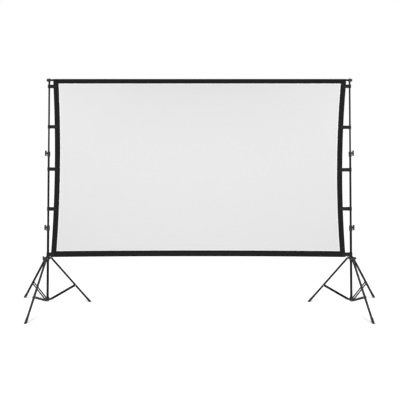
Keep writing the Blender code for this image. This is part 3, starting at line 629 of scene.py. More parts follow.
CLAMP_NYLON = {"colour": (0.020, 0.020, 0.021), "roughness": 0.5, "grain": 1500.0, "scuff": 0.5}
KNOB_NYLON = {"colour": (0.024, 0.024, 0.025), "roughness": 0.45, "grain": 1900.0, "scuff": 0.6}
BOOT_RUBBER = {"colour": (0.014, 0.014, 0.014), "roughness": 0.72, "grain": 700.0, "scuff": 1.2}
MOULDED_SPECULAR = 0.35
MOULDED_BUMP = (0.25, 0.00015)

ZINC_COLOUR = (0.42, 0.42, 0.43)
ZINC_ROUGHNESS = 0.34
ZINC_SKIN = {"Grain": 900.0, "Scuff": 0.8}
ZINC_BUMP = (0.1, 0.0001)

FINISHES = {
    "coated_tube": "tube",
    "coated_channel": "channel",
    "clamp_nylon": "clamp",
    "knob_nylon": "knob",
    "foot_rubber": "rubber",
    "screen_cloth": "panel",
    "border_cloth": "border",
    "strap_webbing": "webbing",
}


def principled(name, roughness, specular=0.5, metallic=0.0):
    material = bpy.data.materials.new(name)
    material.use_nodes = True
    tree = material.node_tree
    shader = tree.nodes["Principled BSDF"]
    shader.inputs["Roughness"].default_value = roughness
    shader.inputs["Specular IOR Level"].default_value = specular
    shader.inputs["Metallic"].default_value = metallic
    return material, tree, shader


def coordinates(tree, kind):
    return tree.nodes.new("ShaderNodeTexCoord").outputs[kind]


def used(tree, shared, **values):
    """A shared group in a material, with its inputs set by name."""
    node = tree.nodes.new("ShaderNodeGroup")
    node.node_tree = shared
    for name, value in values.items():
        link(tree, node.inputs[name.replace("_", " ")], value)
    return node.outputs


def toned(tree, colour, tone):
    node = tree.nodes.new("ShaderNodeVectorMath")
    node.operation = "SCALE"
    node.inputs[0].default_value = colour
    link(tree, node.inputs["Scale"], tone)
    return node.outputs["Vector"]


def bumped(tree, shader, height, strength, distance):
    node = tree.nodes.new("ShaderNodeBump")
    node.inputs["Strength"].default_value = strength
    node.inputs["Distance"].default_value = distance
    link(tree, node.inputs["Height"], height)
    link(tree, shader.inputs["Normal"], node.outputs["Normal"])


def cloth_material(name, shared, rows, colour, thread, spread, sheen):
    """Woven cloth with two stitched rows at the distances in rows."""
    material, tree, shader = principled(name, CLOTH_ROUGHNESS, CLOTH_SPECULAR)
    uv = coordinates(tree, "UV")
    woven = used(tree, shared["weave"], Vector=uv, Thread=thread, Tone_Spread=spread)
    sewn = used(tree, shared["stitches"], Vector=uv, First_Row=rows[0], Second_Row=rows[1])
    light_thread = tuple(min(1.0, THREAD_GAIN * c + THREAD_LIFT) for c in colour)
    base = blend_colours(tree, sewn["Mask"], toned(tree, colour, woven["Tone"]), (*light_thread, 1.0))
    link(tree, shader.inputs["Base Color"], base)
    shader.inputs["Sheen Weight"].default_value = sheen
    shader.inputs["Sheen Roughness"].default_value = SHEEN_ROUGHNESS
    height = calc(tree, "MULTIPLY_ADD", sewn["Height"], SEWN_RELIEF, woven["Height"])
    bumped(tree, shader, height, *CLOTH_BUMP)
    return material


def panel_material(shared):
    """Grey-white screen cloth, with a painted bright halo along its edge."""
    material, tree, shader = principled("grey-white screen cloth", PANEL_ROUGHNESS, PANEL_SPECULAR)
    woven = used(tree, shared["weave"], Vector=coordinates(tree, "UV"), **PANEL_WEAVE)
    # The panel's edge is painted whiter, as a bright halo
    halo_node = tree.nodes.new("ShaderNodeAttribute")
    halo_node.attribute_name = "painted_halo"
    single = toned(tree, PANEL_COLOUR, woven["Tone"])
    base = blend_colours(tree, halo_node.outputs["Fac"], single, PAINTED_HALO_COLOUR)
    link(tree, shader.inputs["Base Color"], base)
    bumped(tree, shader, woven["Height"], *PANEL_BUMP)
    return material


def webbing_material(shared):
    """Black elastic webbing with a faint sheen."""
    material, tree, shader = principled("black elastic webbing", WEBBING_ROUGHNESS, WEBBING_SPECULAR)
    band = used(tree, shared["webbing"], Vector=coordinates(tree, "UV"))
    link(tree, shader.inputs["Base Color"], toned(tree, WEBBING_COLOUR, band["Tone"]))
    shader.inputs["Sheen Weight"].default_value = WEBBING_SHEEN
    bumped(tree, shader, band["Height"], *WEBBING_BUMP)
    return material


def thread_material(shared):
    """Black thread of the sewn squares on the straps."""
    material, tree, shader = principled("black sewing thread", THREAD_ROUGHNESS, THREAD_SPECULAR)
    twist = used(tree, shared["grain"], Vector=coordinates(tree, "Object"), **THREAD_TWIST)
    link(tree, shader.inputs["Base Color"], toned(tree, THREAD_COLOUR, twist["Tone"]))
    bumped(tree, shader, twist["Height"], *THREAD_BUMP)
    return material


def coated_material(name, shared, colour, roughness, specular, wear, dust_and_sheen):
    """Black coated metal, worn at its edges, with dust and a painted highlight on the faces that look up."""
    material, tree, shader = principled(name, roughness, specular)
    place = coordinates(tree, "Object")
    coat = used(tree, shared["coat"], Vector=place, Wear=wear)
    base = blend_colours(tree, coat["Edge"], toned(tree, colour, coat["Tone"]), WORN_COAT_COLOUR)
    # Dust and a painted highlight on the faces that look up
    dust_sheen_film = used(tree, shared["dust_and_sheen"], Vector=place, Normal=coordinates(tree, "Normal"), Amount=dust_and_sheen)
    link(tree, shader.inputs["Base Color"], blend_colours(tree, dust_sheen_film["Mask"], base, DUST_AND_SHEEN_COLOUR))
    link(tree, shader.inputs["Roughness"], calc(tree, "ADD", coat["Gloss"], roughness))
    bumped(tree, shader, coat["Height"], *COAT_BUMP)
    return material


def moulded_material(name, shared, colour, roughness, grain, scuff):
    """Black moulded nylon or rubber, paler and duller where it is scuffed."""
    material, tree, shader = principled(name, roughness, MOULDED_SPECULAR)
    skin = used(tree, shared["grain"], Vector=coordinates(tree, "Object"), Grain=grain, Scuff=scuff)
    link(tree, shader.inputs["Base Color"], toned(tree, colour, skin["Tone"]))
    link(tree, shader.inputs["Roughness"], calc(tree, "ADD", skin["Gloss"], roughness))
    bumped(tree, shader, skin["Height"], *MOULDED_BUMP)
    return material


def zinc_material(shared):
    """Bright zinc of the pins and the rivets."""
    material, tree, shader = principled("zinc-plated steel", ZINC_ROUGHNESS, metallic=1.0)
    skin = used(tree, shared["grain"], Vector=coordinates(tree, "Object"), **ZINC_SKIN)
    link(tree, shader.inputs["Base Color"], toned(tree, ZINC_COLOUR, skin["Tone"]))
    link(tree, shader.inputs["Roughness"], calc(tree, "ADD", skin["Gloss"], ZINC_ROUGHNESS))
    bumped(tree, shader, skin["Height"], *ZINC_BUMP)
    return material


def make_materials():
    shared = {
        "weave": woven_cloth(),
        "stitches": stitched_rows(),
        "webbing": elastic_webbing(),
        "coat": powder_coat(),
        "grain": moulded_grain(),
        "dust_and_sheen": dust_and_painted_sheen(),
    }
    side_rows = (EDGE_STITCH, BORDER_WIDTH - EDGE_STITCH)
    bottom_rows = (EDGE_STITCH, BOTTOM_HEIGHT - EDGE_STITCH)
    return {
        "border": cloth_material("black border cloth", shared, side_rows, **BLACK_CLOTH),
        "bottom": cloth_material("black bottom border cloth", shared, bottom_rows, **BLACK_CLOTH),
        "hem": cloth_material("black hem cloth", shared, HEM_ROWS, **BLACK_CLOTH),
        "panel": panel_material(shared),
        "webbing": webbing_material(shared),
        "thread": thread_material(shared),
        "tube": coated_material("black coated tube", shared, **TUBE_COAT),
        "channel": coated_material("black coated channel", shared, **CHANNEL_COAT),
        "clamp": moulded_material("black moulded nylon", shared, **CLAMP_NYLON),
        "knob": moulded_material("black knob nylon", shared, **KNOB_NYLON),
        "rubber": moulded_material("matt black rubber", shared, **BOOT_RUBBER),
        "zinc": zinc_material(shared),
    }


def paint_frame(materials):
    """Gives every node of the part its material."""
    slots = {entry["node"]: entry["material_slot"] for entry in frame["record"]["subparts"]}
    for name, node in NODES.items():
        node.data.materials.clear()
        node.data.materials.append(materials[FINISHES[slots[name]]])


# The cloth's outline


def edge_x(side, height):
    """Half width to the border's outer edge at a height: a parabola through its top, waist and bottom."""
    waist_z = CORNER_Z + (HEM_LOW - CORNER_Z) * WAIST_SHARE
    knots = (HEM_LOW, waist_z, CORNER_Z)
    total = 0.0
    for gap, here in zip(BORDER_GAPS[side], knots):
        share = 1.0
        for other in knots:
            if other != here:
                share = share * (height - other) / (here - other)
        total = total + (MAST_X - gap + EDGE_EASE) * share
    return total


def bow(x):
    """How far the bottom edge is drawn up at a place along it."""
    half = np.where(np.asarray(x) < 0, edge_x("left", CORNER_Z), edge_x("right", CORNER_Z))
    return BOTTOM_BOW * np.clip(1 - (np.asarray(x) / half) ** 2, 0, 1)


def relief(x, z):
    """Soft uneven tension across the cloth."""
    broad = np.sin(x * BROAD_WAVES[0] + BROAD_PHASES[0]) * np.sin(z * BROAD_WAVES[1] + BROAD_PHASES[1])
    slanted = np.sin(x * SLANTED_WAVES[0] - z * SLANTED_WAVES[1])
    fine = np.sin(x * FINE_WAVES[0] + z * FINE_WAVES[1])
    return RELIEF * (broad + SLANTED_SHARE * slanted + FINE_SHARE * fine)


def pucker(along, waves, from_edge):
    """How far stitching draws a strip back and forth near its outer edge."""
    return PUCKER * math.sin(along * waves) * math.exp(-from_edge / PUCKER_REACH)


def folded(distances, width):
    """A hemmed strip's thickness at distances from its edge: more at both folds, less at the stitches."""
    d = np.minimum(distances, width - distances)
    thick = BORDER_THICKNESS + FOLD_EXTRA * (d < FOLD_WIDTH)
    return thick - STITCH_DIP * np.exp(-(((d - EDGE_STITCH) / STITCH_DIP_WIDTH) ** 2))


def strip_places(width):
    """Distances across a hemmed strip, close together at its edges and its stitches."""
    return np.array(STRIP_STEPS + [width / 2] + [width - d for d in reversed(STRIP_STEPS)])


# Cloth pieces


def gather(sheet, name):
    """Bakes the placement of the upper or the lower half of the cloth into its mesh, both alike."""
    if name == "upper":
        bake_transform(sheet)
    else:
        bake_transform(sheet)


def panel_places(halo_edge):
    """The panel's columns as (distance from a side edge, share of the width between)."""
    sides = [0, SEAM_LAP / 2, SEAM_LAP, halo_edge - MASK_STEP, halo_edge + MASK_STEP, halo_edge + PANEL_STEP]
    inner = sides[-1] + PANEL_STEP
    columns = [(inner, share) for share in np.linspace(0, 1, PANEL_COLUMNS)]
    return [(d, 0) for d in sides] + columns + [(d, 1) for d in sides[::-1]]


def panel_grid(name, high):
    """The middle surface of a half of the panel, with 1 where the painted bright halo lies along its edge."""
    upper = name == "upper"
    inset = BORDER_WIDTH - SEAM_LAP
    level = CORNER_Z + BOTTOM_HEIGHT - SEAM_LAP
    halo_edge = SEAM_LAP + PAINTED_HALO_WIDTH
    places = panel_places(halo_edge)
    seam = np.array([halo_edge - MASK_STEP, halo_edge + MASK_STEP])
    seam_steps = 1 - seam / (high - SPLIT) if upper else seam / (SPLIT - level)
    steps = np.unique(np.concatenate([np.linspace(0, 1, PANEL_ROWS), seam_steps]))
    grid, halo_mask = [], []
    for step in steps:
        row, edge = [], []
        for distance, share in places:
            x = MAST_X * (2 * share - 1)
            for _ in range(OUTLINE_ROUNDS):
                low = SPLIT if upper else level + float(bow(x))
                z = low + (high - low) * step
                left, right = -edge_x("left", z) + inset, edge_x("right", z) - inset
                x = left + distance + (right - left - 2 * distance) * share
            gap = min(x - left, right - x, high - z if upper else z - low)
            calm = min(1.0, max(0.0, (gap - SEAM_LAP) / CALM_EDGE)) ** 2
            row.append((x, MAST_Y + PANEL_DEPTH + calm * relief(x, z), z))
            # 1 within the painted bright halo along the panel's edge
            edge.append(1.0 if gap < halo_edge else 0.0)
        grid.append(row)
        halo_mask.append(edge)
    return np.array(grid), np.array(halo_mask)


def build_panel(name, materials):
    """Half of the screen cloth. The halves meet at the middle of the masts' middle tubes."""
    high = HEM_LOW + SEAM_LAP - HEM_EASE if name == "upper" else SPLIT
    grid, halo_mask = panel_grid(name, high)
    sheet = cloth(grid, PANEL_THICKNESS, grid[..., 0], grid[..., 2])
    panel = piece(f"screen_cloth_{name}", [(sheet, 0)], [materials["panel"]])
    rim = np.ones(len(sheet[0]) - 2 * halo_mask.size)
    values = np.concatenate([halo_mask.ravel(), halo_mask.ravel(), rim])
    # The mask of the painted bright halo along the panel's edge
    attribute = panel.data.attributes.new("painted_halo", "FLOAT", "POINT")
    attribute.data.foreach_set("value", values.astype(np.float32))
    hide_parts("screen_panel")
    gather(panel, name)


def build_side_border(side, name, materials):
    """Half of a side border, a hemmed strip. The halves meet where the panel's halves meet."""
    sign = SIDES[side]
    places = strip_places(BORDER_WIDTH)
    start, stop = SPLIT, HEM_LOW + TUCK
    if name == "lower":
        start, stop = CORNER_Z + BOTTOM_HEIGHT - TUCK, SPLIT
    grid, along = [], []
    for step in np.linspace(0, 1, BORDER_ROWS):
        row = []
        for place in places:
            foot = start
            if name == "lower":
                foot = start + float(bow(sign * (edge_x(side, start) - place)))
            z = foot + (stop - foot) * step
            x = sign * (edge_x(side, z) - place)
            row.append((x, MAST_Y + BORDER_DEPTH + pucker(z, SIDE_PUCKERS, place), z))
        grid.append(row)
        along.append([z for _, _, z in row])
    across = np.array([places] * len(grid))
    sheet = cloth(grid, folded(places, BORDER_WIDTH), across, np.array(along))
    strip = piece(f"{side}_border_{name}", [(sheet, 0)], [materials["border"]])
    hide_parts(f"{side}_border")
    gather(strip, name)


def build_bottom_border(materials):
    """The bottom border, drawn up a little between its corners."""
    places = strip_places(BOTTOM_HEIGHT)
    grid, along = [], []
    for share in np.linspace(0, 1, BOTTOM_COLUMNS):
        row = []
        for place in places:
            z_flat = CORNER_Z + BOTTOM_HEIGHT - place
            left, right = -edge_x("left", z_flat), edge_x("right", z_flat)
            x = left + (right - left) * share
            y = MAST_Y + OVER_DEPTH + pucker(x, BOTTOM_PUCKERS, BOTTOM_HEIGHT - place)
            row.append((x, y, z_flat + float(bow(x))))
        grid.append(row)
        along.append([x for x, _, _ in row])
    across = np.array([places] * len(grid))
    sheet = cloth(grid, folded(places, BOTTOM_HEIGHT), across, np.array(along))
    border = piece("bottom_border_strip", [(sheet, 0)], [materials["bottom"]])
    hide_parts("bottom_border")
    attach(border, "left_base_mast")


def sleeve_line():
    """The hem in section about the bar's axis, as (y, z): up the front tail, over the bar, down the back."""
    radius = BAR_RADIUS + SLEEVE_SLACK
    tail_foot, tail_top = HEM_LOW - HEM_EASE - BAR_Z, -SLEEVE_SEAM - TAIL_BELOW_SEAM
    tail = [(-SEAM_HALF - TAIL_FRONT, z) for z in np.linspace(tail_foot, tail_top, TAIL_STEPS)]
    turns = np.linspace(math.pi + SLEEVE_OPENING, -SLEEVE_OPENING, SLEEVE_STEPS)
    over = [(radius * math.cos(a), radius * math.sin(a)) for a in turns]
    front = between((-SEAM_HALF - FRONT_LAYER, -SLEEVE_SEAM), over[0], SLEEVE_SIDE_SHARES)
    back = between((SEAM_HALF, -SLEEVE_SEAM), over[-1], reversed(SLEEVE_SIDE_SHARES))
    back_top, back_foot = -SLEEVE_SEAM - BACK_TAIL_BELOW_SEAM, HEM_LOW - BAR_Z + BACK_TAIL_FOOT
    low = [(-SEAM_HALF * BACK_TAIL_SHARE, z) for z in np.linspace(back_top, back_foot, BACK_TAIL_STEPS)]
    return np.array(tail + front + over + back + low)


def build_hem(materials):
    """The sleeve round the crossbar, a little slack under it, with its sewn tail over the panel's edge."""
    line = sleeve_line()
    steps = np.linalg.norm(np.diff(line, axis=0), axis=1)
    across = np.concatenate([[0], np.cumsum(steps)])
    slack = np.exp(-((line[:, 1] + SLACK_LEVEL) / SLACK_SPREAD) ** 2)
    xs = np.linspace(HEM_ENDS[0], HEM_ENDS[1], HEM_COLUMNS)
    grid = []
    for x in xs:
        wave = sum(size * math.sin(x * rate + phase) for size, rate, phase in SLACK_WAVES)
        y = line[:, 0] * (1 + SLACK_OUT_SHARE * slack * wave)
        z = line[:, 1] - SLACK_DOWN * slack * wave
        grid.append(np.stack([np.full(len(line), x), MAST_Y + y, BAR_Z + z], axis=1))
    along = np.repeat(xs[:, None], len(line), axis=1)
    sheet = cloth(np.array(grid), HEM_THICKNESS, np.array([across] * len(xs)), along)
    hem = piece("top_hem_sleeve", [(sheet, 0)], [materials["hem"]])
    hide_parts("top_hem")
    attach(hem, "crossbar_and_screen")


def strap_line(reach, radius):
    """The strap's middle line from above, about the mast's axis: front lap, loop round the mast, back lap."""
    front_corner, back_corner = (reach, STRAP_FRONT), (reach, STRAP_BACK)
    start = math.atan2(STRAP_FRONT, reach) - math.acos(radius / math.hypot(*front_corner))
    stop = math.atan2(STRAP_BACK, reach) + math.acos(radius / math.hypot(*back_corner)) - math.tau
    arc = [(radius * math.cos(a), radius * math.sin(a)) for a in np.linspace(start, stop, LOOP_STEPS)]
    lap_front = []
    for share in LAP_SHARES:
        rest = LAP_REST if share > LAP_REST_SHARE else 0.0
        lap_front.append((reach + STRAP_LAP * share, STRAP_FRONT + rest))
    lap_back = [(reach + STRAP_LAP * share, STRAP_BACK) for share in reversed(LAP_SHARES)]
    lead_in = between(front_corner, arc[0], LEAD_IN_SHARES)
    lead_out = between(arc[-1], back_corner, LEAD_OUT_SHARES)
    return np.array(lap_front + lead_in + arc + lead_out + lap_back)


def stitch(place, along, out):
    """One stitch of thread lying on cloth."""
    return turned(STITCH, STITCH_SIDES, frame_at(place, along, out))


def box_stitching(sign, mast, reach, height):
    """A sewn square with its two diagonals, on the strap's front lap."""
    low, high, half = reach + SQUARE_START, reach + SQUARE_END, SQUARE_HALF
    corners = [(low, -half), (high, -half), (high, half), (low, half)]
    edges = list(zip(corners, corners[1:] + corners[:1]))
    diagonals = [(corners[0], corners[2]), (corners[1], corners[3])]
    depth = MAST_Y + STRAP_FRONT - STRAP_THICKNESS / 2
    parts = []
    for (x0, z0), (x1, z1) in edges + diagonals:
        count = max(2, round(math.hypot(x1 - x0, z1 - z0) / STITCH_PITCH))
        for k in range(count):
            s = (k + 0.5) / count
            place = (mast - sign * (x0 + (x1 - x0) * s), depth, height + z0 + (z1 - z0) * s)
            parts.append(stitch(place, (-sign * (x1 - x0), 0, z1 - z0), (0, -1, 0)))
    return parts


def build_strap(side, index, materials):
    """A band of elastic webbing from the front of the border round the mast to the border's back."""
    node = f"{side}_strap_{index}"
    sign = SIDES[side]
    height = middle(node).z - STRAP_DROP - STRAP_SLIPS.get(node, 0.0)
    mast = sign * MAST_X
    reach = MAST_X - edge_x(side, height)
    line = strap_line(reach, STRAP_LOOPS[index] + STRAP_THICKNESS / 2)
    along = np.concatenate([[0], np.cumsum(np.linalg.norm(np.diff(line, axis=0), axis=1))])
    across = ACROSS_SHARES * STRAP_WIDTH
    thick = THICKNESS_SHARES * STRAP_THICKNESS
    low = height - STRAP_WIDTH / 2
    grid = [[(mast - sign * x, MAST_Y + y, low + w) for w in across] for x, y in line]
    sheet = cloth(grid, thick, np.array([across] * len(line)), np.repeat(along[:, None], len(across), axis=1))
    parts = [(sheet, 0)] + [(sewn, 1) for sewn in box_stitching(sign, mast, reach, height)]
    strap = piece(f"{node}_webbing", parts, [materials["webbing"], materials["thread"]])
    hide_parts(node)
    middle_mast, base = f"{side}_middle_mast", f"{side}_base_mast"
    if index == 1:
        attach(strap, "crossbar_and_screen")
    elif index == 5:
        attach(strap, base)
        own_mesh(strap)
    else:
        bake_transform(strap)


def hang_cloth(materials):
    for name in ("upper", "lower"):
        build_panel(name, materials)
    for side in SIDES:
        for name in ("upper", "lower"):
            build_side_border(side, name, materials)
    build_hem(materials)
    build_bottom_border(materials)
    for side in SIDES:
        for index in STRAPS:
            build_strap(side, index, materials)


# Small fasteners and moulded details

# Turned profiles as (radius, height)
DOME = [(0, 0), (0.0044, 0), (0.0044, 0.0003), (0.0038, 0.0010), (0.0024, 0.0016), (0, 0.0018)]
KNOB_CAP = [(0, 0), (0.0042, 0), (0.0042, 0.0003), (0.0036, 0.0008), (0.0018, 0.0012), (0, 0.0013)]
WASHER = [(0, -0.0006), (0.0048, -0.0006), (0.0052, 0.0002), (0.0048, 0.0010), (0, 0.0010)]
SCREW_HEAD = [(0, 0.0006), (0.0038, 0.0006), (0.0039, 0.0022), (0.0032, 0.0034), (0, 0.0036)]
PIN = [(0, 0), (0.0013, 0), (0.0013, 0.0120), (0.0009, 0.0130), (0, 0.0133)]
DOME_SIDES = 16
CAP_SIDES = 20
WASHER_SIDES = 24
HEAD_SIDES = 20
PIN_SIDES = 12
SCREW_SINK = 0.0012

# Rivets
EAR_FACE = 0.0113
BRACE_FACE = 0.0121
BRACE_POINT = 0.352
BRACE_HEAD_SCALE = 0.95

# Raised bands as (height of the band, how far it stands out), and their section in shares of these
RIB = (0.0011, 0.0006)
LIP = (0.0024, 0.0009)
BOOT_BANDS = ((0.0405, LIP), (0.0350, RIB), (0.0315, RIB), (0.0280, RIB))
BOOT_BAND_ROOT = 0.0004
BOOT_HALF_WIDTH = 0.0078
BOOT_HALF_DEPTH = 0.0094
BOOT_ROUNDING = 0.0021
CORNER_STEPS = 5
CLAMP_RING = (0.0012, 0.0006)
CLAMP_RING_ROOT = 0.0006
CLAMP_RING_DROPS = (0.0175, 0.0205)
CLAMP_RING_SIDES = 28
CLAMP_RINGS = (("upper_clamp", "middle_mast", 0.0128), ("lower_clamp", "base_mast", 0.0143))
CLAMP_HEAD = 0.026
SHOULDER_SHARE = 0.6
FLAT_SHARE = 0.4

# Grip ridges on the knobs' wings
RIDGE_PLACES = (0.0115, 0.0145, 0.0175, 0.0205)
RIDGE_SIZE = (0.0012, 0.0010, 0.0062)
RIDGE_BEVEL = 0.0003
RIDGE_BELOW_FACE = 0.0060
RIDGE_OFFSET = 0.0050


def dome(place, axis, scale=1.0):
    """A domed rivet head standing on a face."""
    return turned([(r * scale, h * scale) for r, h in DOME], DOME_SIDES, frame_at(place, axis))


def joint_place(name):
    joint = JOINTS[name]
    return Vector(joint["pos_m"]), Vector(joint["axis"]).normalized()


def sole(side, leg):
    """The middle of a boot's flat sole."""
    return Vector(MOUNTS[f"{side}_{leg}_foot_base"]["pos_m"])


def build_rivets(side, materials):
    """Rivet heads on the crown's ears and on both ends of each brace."""
    ears = []
    for leg in LEGS:
        pivot, axis = joint_place(f"{side}_{leg}_leg_pivot")
        for way in (-1, 1):
            ears.append((dome(pivot + axis * way * EAR_FACE, axis * way), 0))
        hub, brace_axis = joint_place(f"{side}_{leg}_brace_pivot")
        down = (sole(side, leg) - pivot).normalized()
        ends = []
        for place in (hub, pivot + down * BRACE_POINT):
            for way in (-1, 1):
                face = place + brace_axis * way * BRACE_FACE
                ends.append((dome(face, brace_axis * way, BRACE_HEAD_SCALE), 0))
        heads = piece(f"{side}_{leg}_brace_rivets", ends, [materials["zinc"]])
        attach(heads, f"{side}_{leg}_brace")
    heads = piece(f"{side}_crown_rivets", ears, [materials["zinc"]])
    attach(heads, f"{side}_leg_crown")


def rounded_rectangle(half_x, half_y, radius):
    """Points round a rectangle with rounded corners, each with its outward direction."""
    points = []
    for cx, cy, start in ((1, 1, 0), (-1, 1, 90), (-1, -1, 180), (1, -1, 270)):
        for k in range(CORNER_STEPS + 1):
            a = math.radians(start + 90 * k / CORNER_STEPS)
            out = (math.cos(a), math.sin(a))
            point = ((half_x - radius) * cx + radius * out[0], (half_y - radius) * cy + radius * out[1])
            points.append((point, out))
    return points


def band_profile(tall, proud, root):
    """A raised band in section, as (out, up), with its root sunk in the face that carries it."""
    half = tall / 2
    shoulder, flat = proud * SHOULDER_SHARE, half * FLAT_SHARE
    return [(-root, -half), (shoulder, -half), (proud, -flat), (proud, flat), (shoulder, half), (-root, half)]


def build_boot_ribs(side, leg, materials):
    """Raised bands round a rubber foot: a lip at its mouth and three grip ribs."""
    pivot, axis = joint_place(f"{side}_{leg}_leg_pivot")
    foot = sole(side, leg)
    down = (foot - pivot).normalized()
    outward = axis.cross(down).normalized()
    length = (foot - pivot).length
    parts = []
    for back, (tall, proud) in BOOT_BANDS:
        centre = pivot + down * (length - back)
        path, frames = [], []
        for (a, b), (p, q) in rounded_rectangle(BOOT_HALF_WIDTH, BOOT_HALF_DEPTH, BOOT_ROUNDING):
            path.append(np.array(centre + axis * a + outward * b))
            frames.append((np.array(axis * p + outward * q), np.array(down)))
        parts.append((swept_ring(path, band_profile(tall, proud, BOOT_BAND_ROOT), frames), 0))
    ribs = piece(f"{side}_{leg}_foot_ribs", parts, [materials["rubber"]])
    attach(ribs, f"{side}_{leg}_leg_with_foot")


def build_knob_details(side, knob, materials):
    """The insert cap on a knob's face and the grip ridges on its wings."""
    name = f"{side}_{knob}"
    pivot, axis = joint_place(name + "_turn")
    points = np.array([v.co for v in NODES[name].data.vertices]) - np.array(pivot)
    reach = points @ np.array(axis)
    face = float(reach.max())
    across = points - np.outer(reach, np.array(axis))
    wing = Vector(across[np.argmax(np.linalg.norm(across, axis=1))]).normalized()
    side_way = axis.cross(wing).normalized()
    parts = [(turned(KNOB_CAP, CAP_SIDES, frame_at(pivot + axis * face, axis)), 1)]
    for way in (-1, 1):
        for end in (-1, 1):
            for place in RIDGE_PLACES:
                centre = pivot + axis * (face - RIDGE_BELOW_FACE) + wing * end * place
                centre = centre + side_way * way * RIDGE_OFFSET
                parts.append((bar(RIDGE_SIZE, RIDGE_BEVEL, frame_at(centre, axis, wing)), 0))
    details = piece(name + "_grips", parts, [materials["knob"], materials["clamp"]])
    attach(details, name)


def ring_round(mast, height, radius):
    """A raised band round a clamp's skirt."""
    path, frames = [], []
    for k in range(CLAMP_RING_SIDES):
        a = math.tau * k / CLAMP_RING_SIDES
        out = np.array((math.cos(a), math.sin(a), 0.0))
        path.append(np.array((mast, MAST_Y, height)) + out * radius)
        frames.append((out, np.array((0.0, 0.0, 1.0))))
    return swept_ring(path, band_profile(*CLAMP_RING, CLAMP_RING_ROOT), frames)


def build_rings(side, materials):
    """Two raised bands on each clamp's skirt."""
    mast = SIDES[side] * MAST_X
    for clamp, body, radius in CLAMP_RINGS:
        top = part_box(f"{side}_{clamp}")[1].z - CLAMP_HEAD
        parts = [(ring_round(mast, top - drop, radius), 0) for drop in CLAMP_RING_DROPS]
        rings = piece(f"{side}_{clamp}_bands", parts, [materials["clamp"]])
        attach(rings, f"{side}_{body}")


def build_bar_screw(side, materials):
    """The screw through the crossbar's end into the mast's stud, and the thin pin upright on its head."""
    end = middle(f"{side}_bar_end")
    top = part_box(f"{side}_bar_end")[1].z
    axes = frame_at((SIDES[side] * MAST_X, end.y, top - SCREW_SINK), (0, 0, 1))
    head, washer = turned(SCREW_HEAD, HEAD_SIDES, axes), turned(WASHER, WASHER_SIDES, axes)
    parts = [(head, 0), (washer, 0), (turned(PIN, PIN_SIDES, axes), 1)]
    screw = piece(f"{side}_bar_end_screw", parts, [materials["channel"], materials["zinc"]])
    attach(screw, "crossbar_and_screen")


def add_details(materials):
    for side in SIDES:
        build_rivets(side, materials)
        build_rings(side, materials)
        build_bar_screw(side, materials)
        for leg in LEGS:
            build_boot_ribs(side, leg, materials)
        for knob in ("upper_knob", "lower_knob", "crown_knob"):
            build_knob_details(side, knob, materials)


# Light, floor and camera

WHITE = (1.0, 1.0, 1.0, 1.0)
WORLD_LIGHT = 0.605
SIDE_SOFTBOX = {"size": (0.7, 0.7), "power": 16, "spread": 100}
SIDE_SOFTBOX_PLACE = (2.5, -2.0, 3.6)
SIDE_SOFTBOX_TARGET = (1.2, 0.1, 0.0)
FRONT_SOFTBOX = {"size": (1.2, 1.0), "power": 3.0, "spread": 46}
FRONT_SOFTBOX_PLACE = (0, -5.2, 2.2)
FRONT_SOFTBOX_TARGET = (0, 0, 1.45)

FLOOR_SIZE = 400.0
FLOOR_DROP = 0.0005
FLOOR_COLOUR = (0.90, 0.90, 0.90, 1.0)
NEAR_FEET = 0.09
FAR_FROM_FEET = 0.28
FOOT_LIFTS = {"inner": 0.30, "back": 0.31, "front": 0.23}
FAR_LIFT = 0.50

# The camera as solved from the photo: lengths in metres, the sensor in millimetres, the rest in pixels
FOCAL_PIXELS = 488.2
PRINCIPAL = (199.45, 113.43)
IMAGE = 400
SENSOR_WIDTH = 36.0
CAMERA_DISTANCE = 4.560
CAMERA_HEIGHT = 1.669
CAMERA_PITCH = math.radians(1.5)


def seen_white(tree, low, high):
    """The high value where the camera, a reflection or a clear piece looks, and the low one for the light."""
    rays = tree.nodes.new("ShaderNodeLightPath")
    seen = calc(tree, "MAXIMUM", rays.outputs["Is Camera Ray"], rays.outputs["Is Glossy Ray"])
    seen = calc(tree, "MAXIMUM", seen, rays.outputs["Is Transmission Ray"])
    return calc(tree, "MULTIPLY_ADD", seen, high - low, low)


def floor_lift(tree):
    """How much the floor is lifted towards white: less next to the feet, so that their shadows show."""
    place = split_vector(tree, coordinates(tree, "Object"))
    one_side = tree.nodes.new("ShaderNodeCombineXYZ")
    link(tree, one_side.inputs["X"], calc(tree, "ABSOLUTE", place["X"]))
    link(tree, one_side.inputs["Y"], place["Y"])
    lift = FAR_LIFT
    for leg, foot_lift in FOOT_LIFTS.items():
        foot = sole("right", leg)
        gap = tree.nodes.new("ShaderNodeVectorMath")
        gap.operation = "DISTANCE"
        link(tree, gap.inputs[0], one_side.outputs["Vector"])
        gap.inputs[1].default_value = (foot.x, foot.y, 0.0)
        here = remap(tree, gap.outputs["Value"], NEAR_FEET, FAR_FROM_FEET, foot_lift, FAR_LIFT)
        lift = calc(tree, "MINIMUM", here, lift)
    return lift


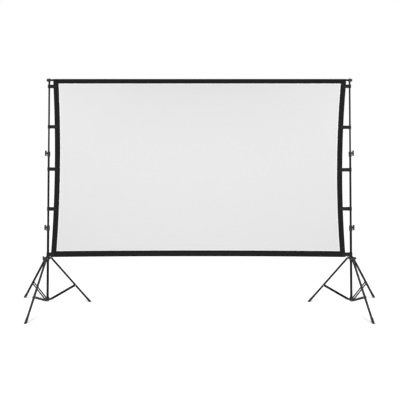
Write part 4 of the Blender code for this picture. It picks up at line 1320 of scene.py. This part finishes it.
def build_floor():
    """A pale floor that shows white away from the feet's shadows."""
    mesh = bpy.data.meshes.new("studio_floor")
    half = FLOOR_SIZE / 2
    corners = [(-half, -half, 0), (half, -half, 0), (half, half, 0), (-half, half, 0)]
    mesh.from_pydata(corners, [], [(0, 1, 2, 3)])
    floor = bpy.data.objects.new("studio_floor", mesh)
    bpy.context.scene.collection.objects.link(floor)
    floor.location.z = -FLOOR_DROP
    material, tree, shader = principled("white studio floor", 1.0, 0.0)
    shader.inputs["Base Color"].default_value = FLOOR_COLOUR
    shader.inputs["Emission Color"].default_value = WHITE
    glow = calc(tree, "MULTIPLY", seen_white(tree, 0.0, 1.0), floor_lift(tree))
    link(tree, shader.inputs["Emission Strength"], glow)
    mesh.materials.append(material)


def build_world():
    """White all round where it is seen, and softer as light."""
    world = bpy.data.worlds.new("studio")
    bpy.context.scene.world = world
    world.use_nodes = True
    background = world.node_tree.nodes["Background"]
    background.inputs["Color"].default_value = WHITE
    link(world.node_tree, background.inputs["Strength"], seen_white(world.node_tree, WORLD_LIGHT, 1.0))


def area_light(name, place, target, size, power, spread):
    """A rectangular lamp at a place, turned to a target, with its spread in degrees."""
    light = bpy.data.lights.new(name, "AREA")
    light.shape = "RECTANGLE"
    light.size, light.size_y = size
    light.energy = power
    light.spread = math.radians(spread)
    lamp = bpy.data.objects.new(name, light)
    bpy.context.scene.collection.objects.link(lamp)
    lamp.location = place
    lamp.rotation_euler = (Vector(target) - Vector(place)).to_track_quat("-Z", "Y").to_euler()


def build_lights():
    """A high softbox for each stand, which throws its shadow on the floor, and a faint one in front."""
    for side, sign in SIDES.items():
        place, target = [(sign * x, y, z) for x, y, z in (SIDE_SOFTBOX_PLACE, SIDE_SOFTBOX_TARGET)]
        area_light(f"{side} softbox", place, target, **SIDE_SOFTBOX)
    area_light("front softbox", FRONT_SOFTBOX_PLACE, FRONT_SOFTBOX_TARGET, **FRONT_SOFTBOX)


def build_camera():
    data = bpy.data.cameras.new("photo camera")
    data.sensor_width = SENSOR_WIDTH
    data.lens = FOCAL_PIXELS * SENSOR_WIDTH / IMAGE
    data.shift_x = (IMAGE / 2 - PRINCIPAL[0]) / IMAGE
    data.shift_y = (PRINCIPAL[1] - IMAGE / 2) / IMAGE
    camera = bpy.data.objects.new("photo camera", data)
    bpy.context.scene.collection.objects.link(camera)
    camera.location = (0, MAST_Y - CAMERA_DISTANCE, CAMERA_HEIGHT)
    camera.rotation_euler = (math.pi / 2 + CAMERA_PITCH, 0, 0)
    bpy.context.scene.camera = camera


materials = make_materials()
paint_frame(materials)
hang_cloth(materials)
add_details(materials)
build_floor()
build_world()
build_lights()
build_camera()
bpy.context.scene.view_settings.view_transform = "Standard"
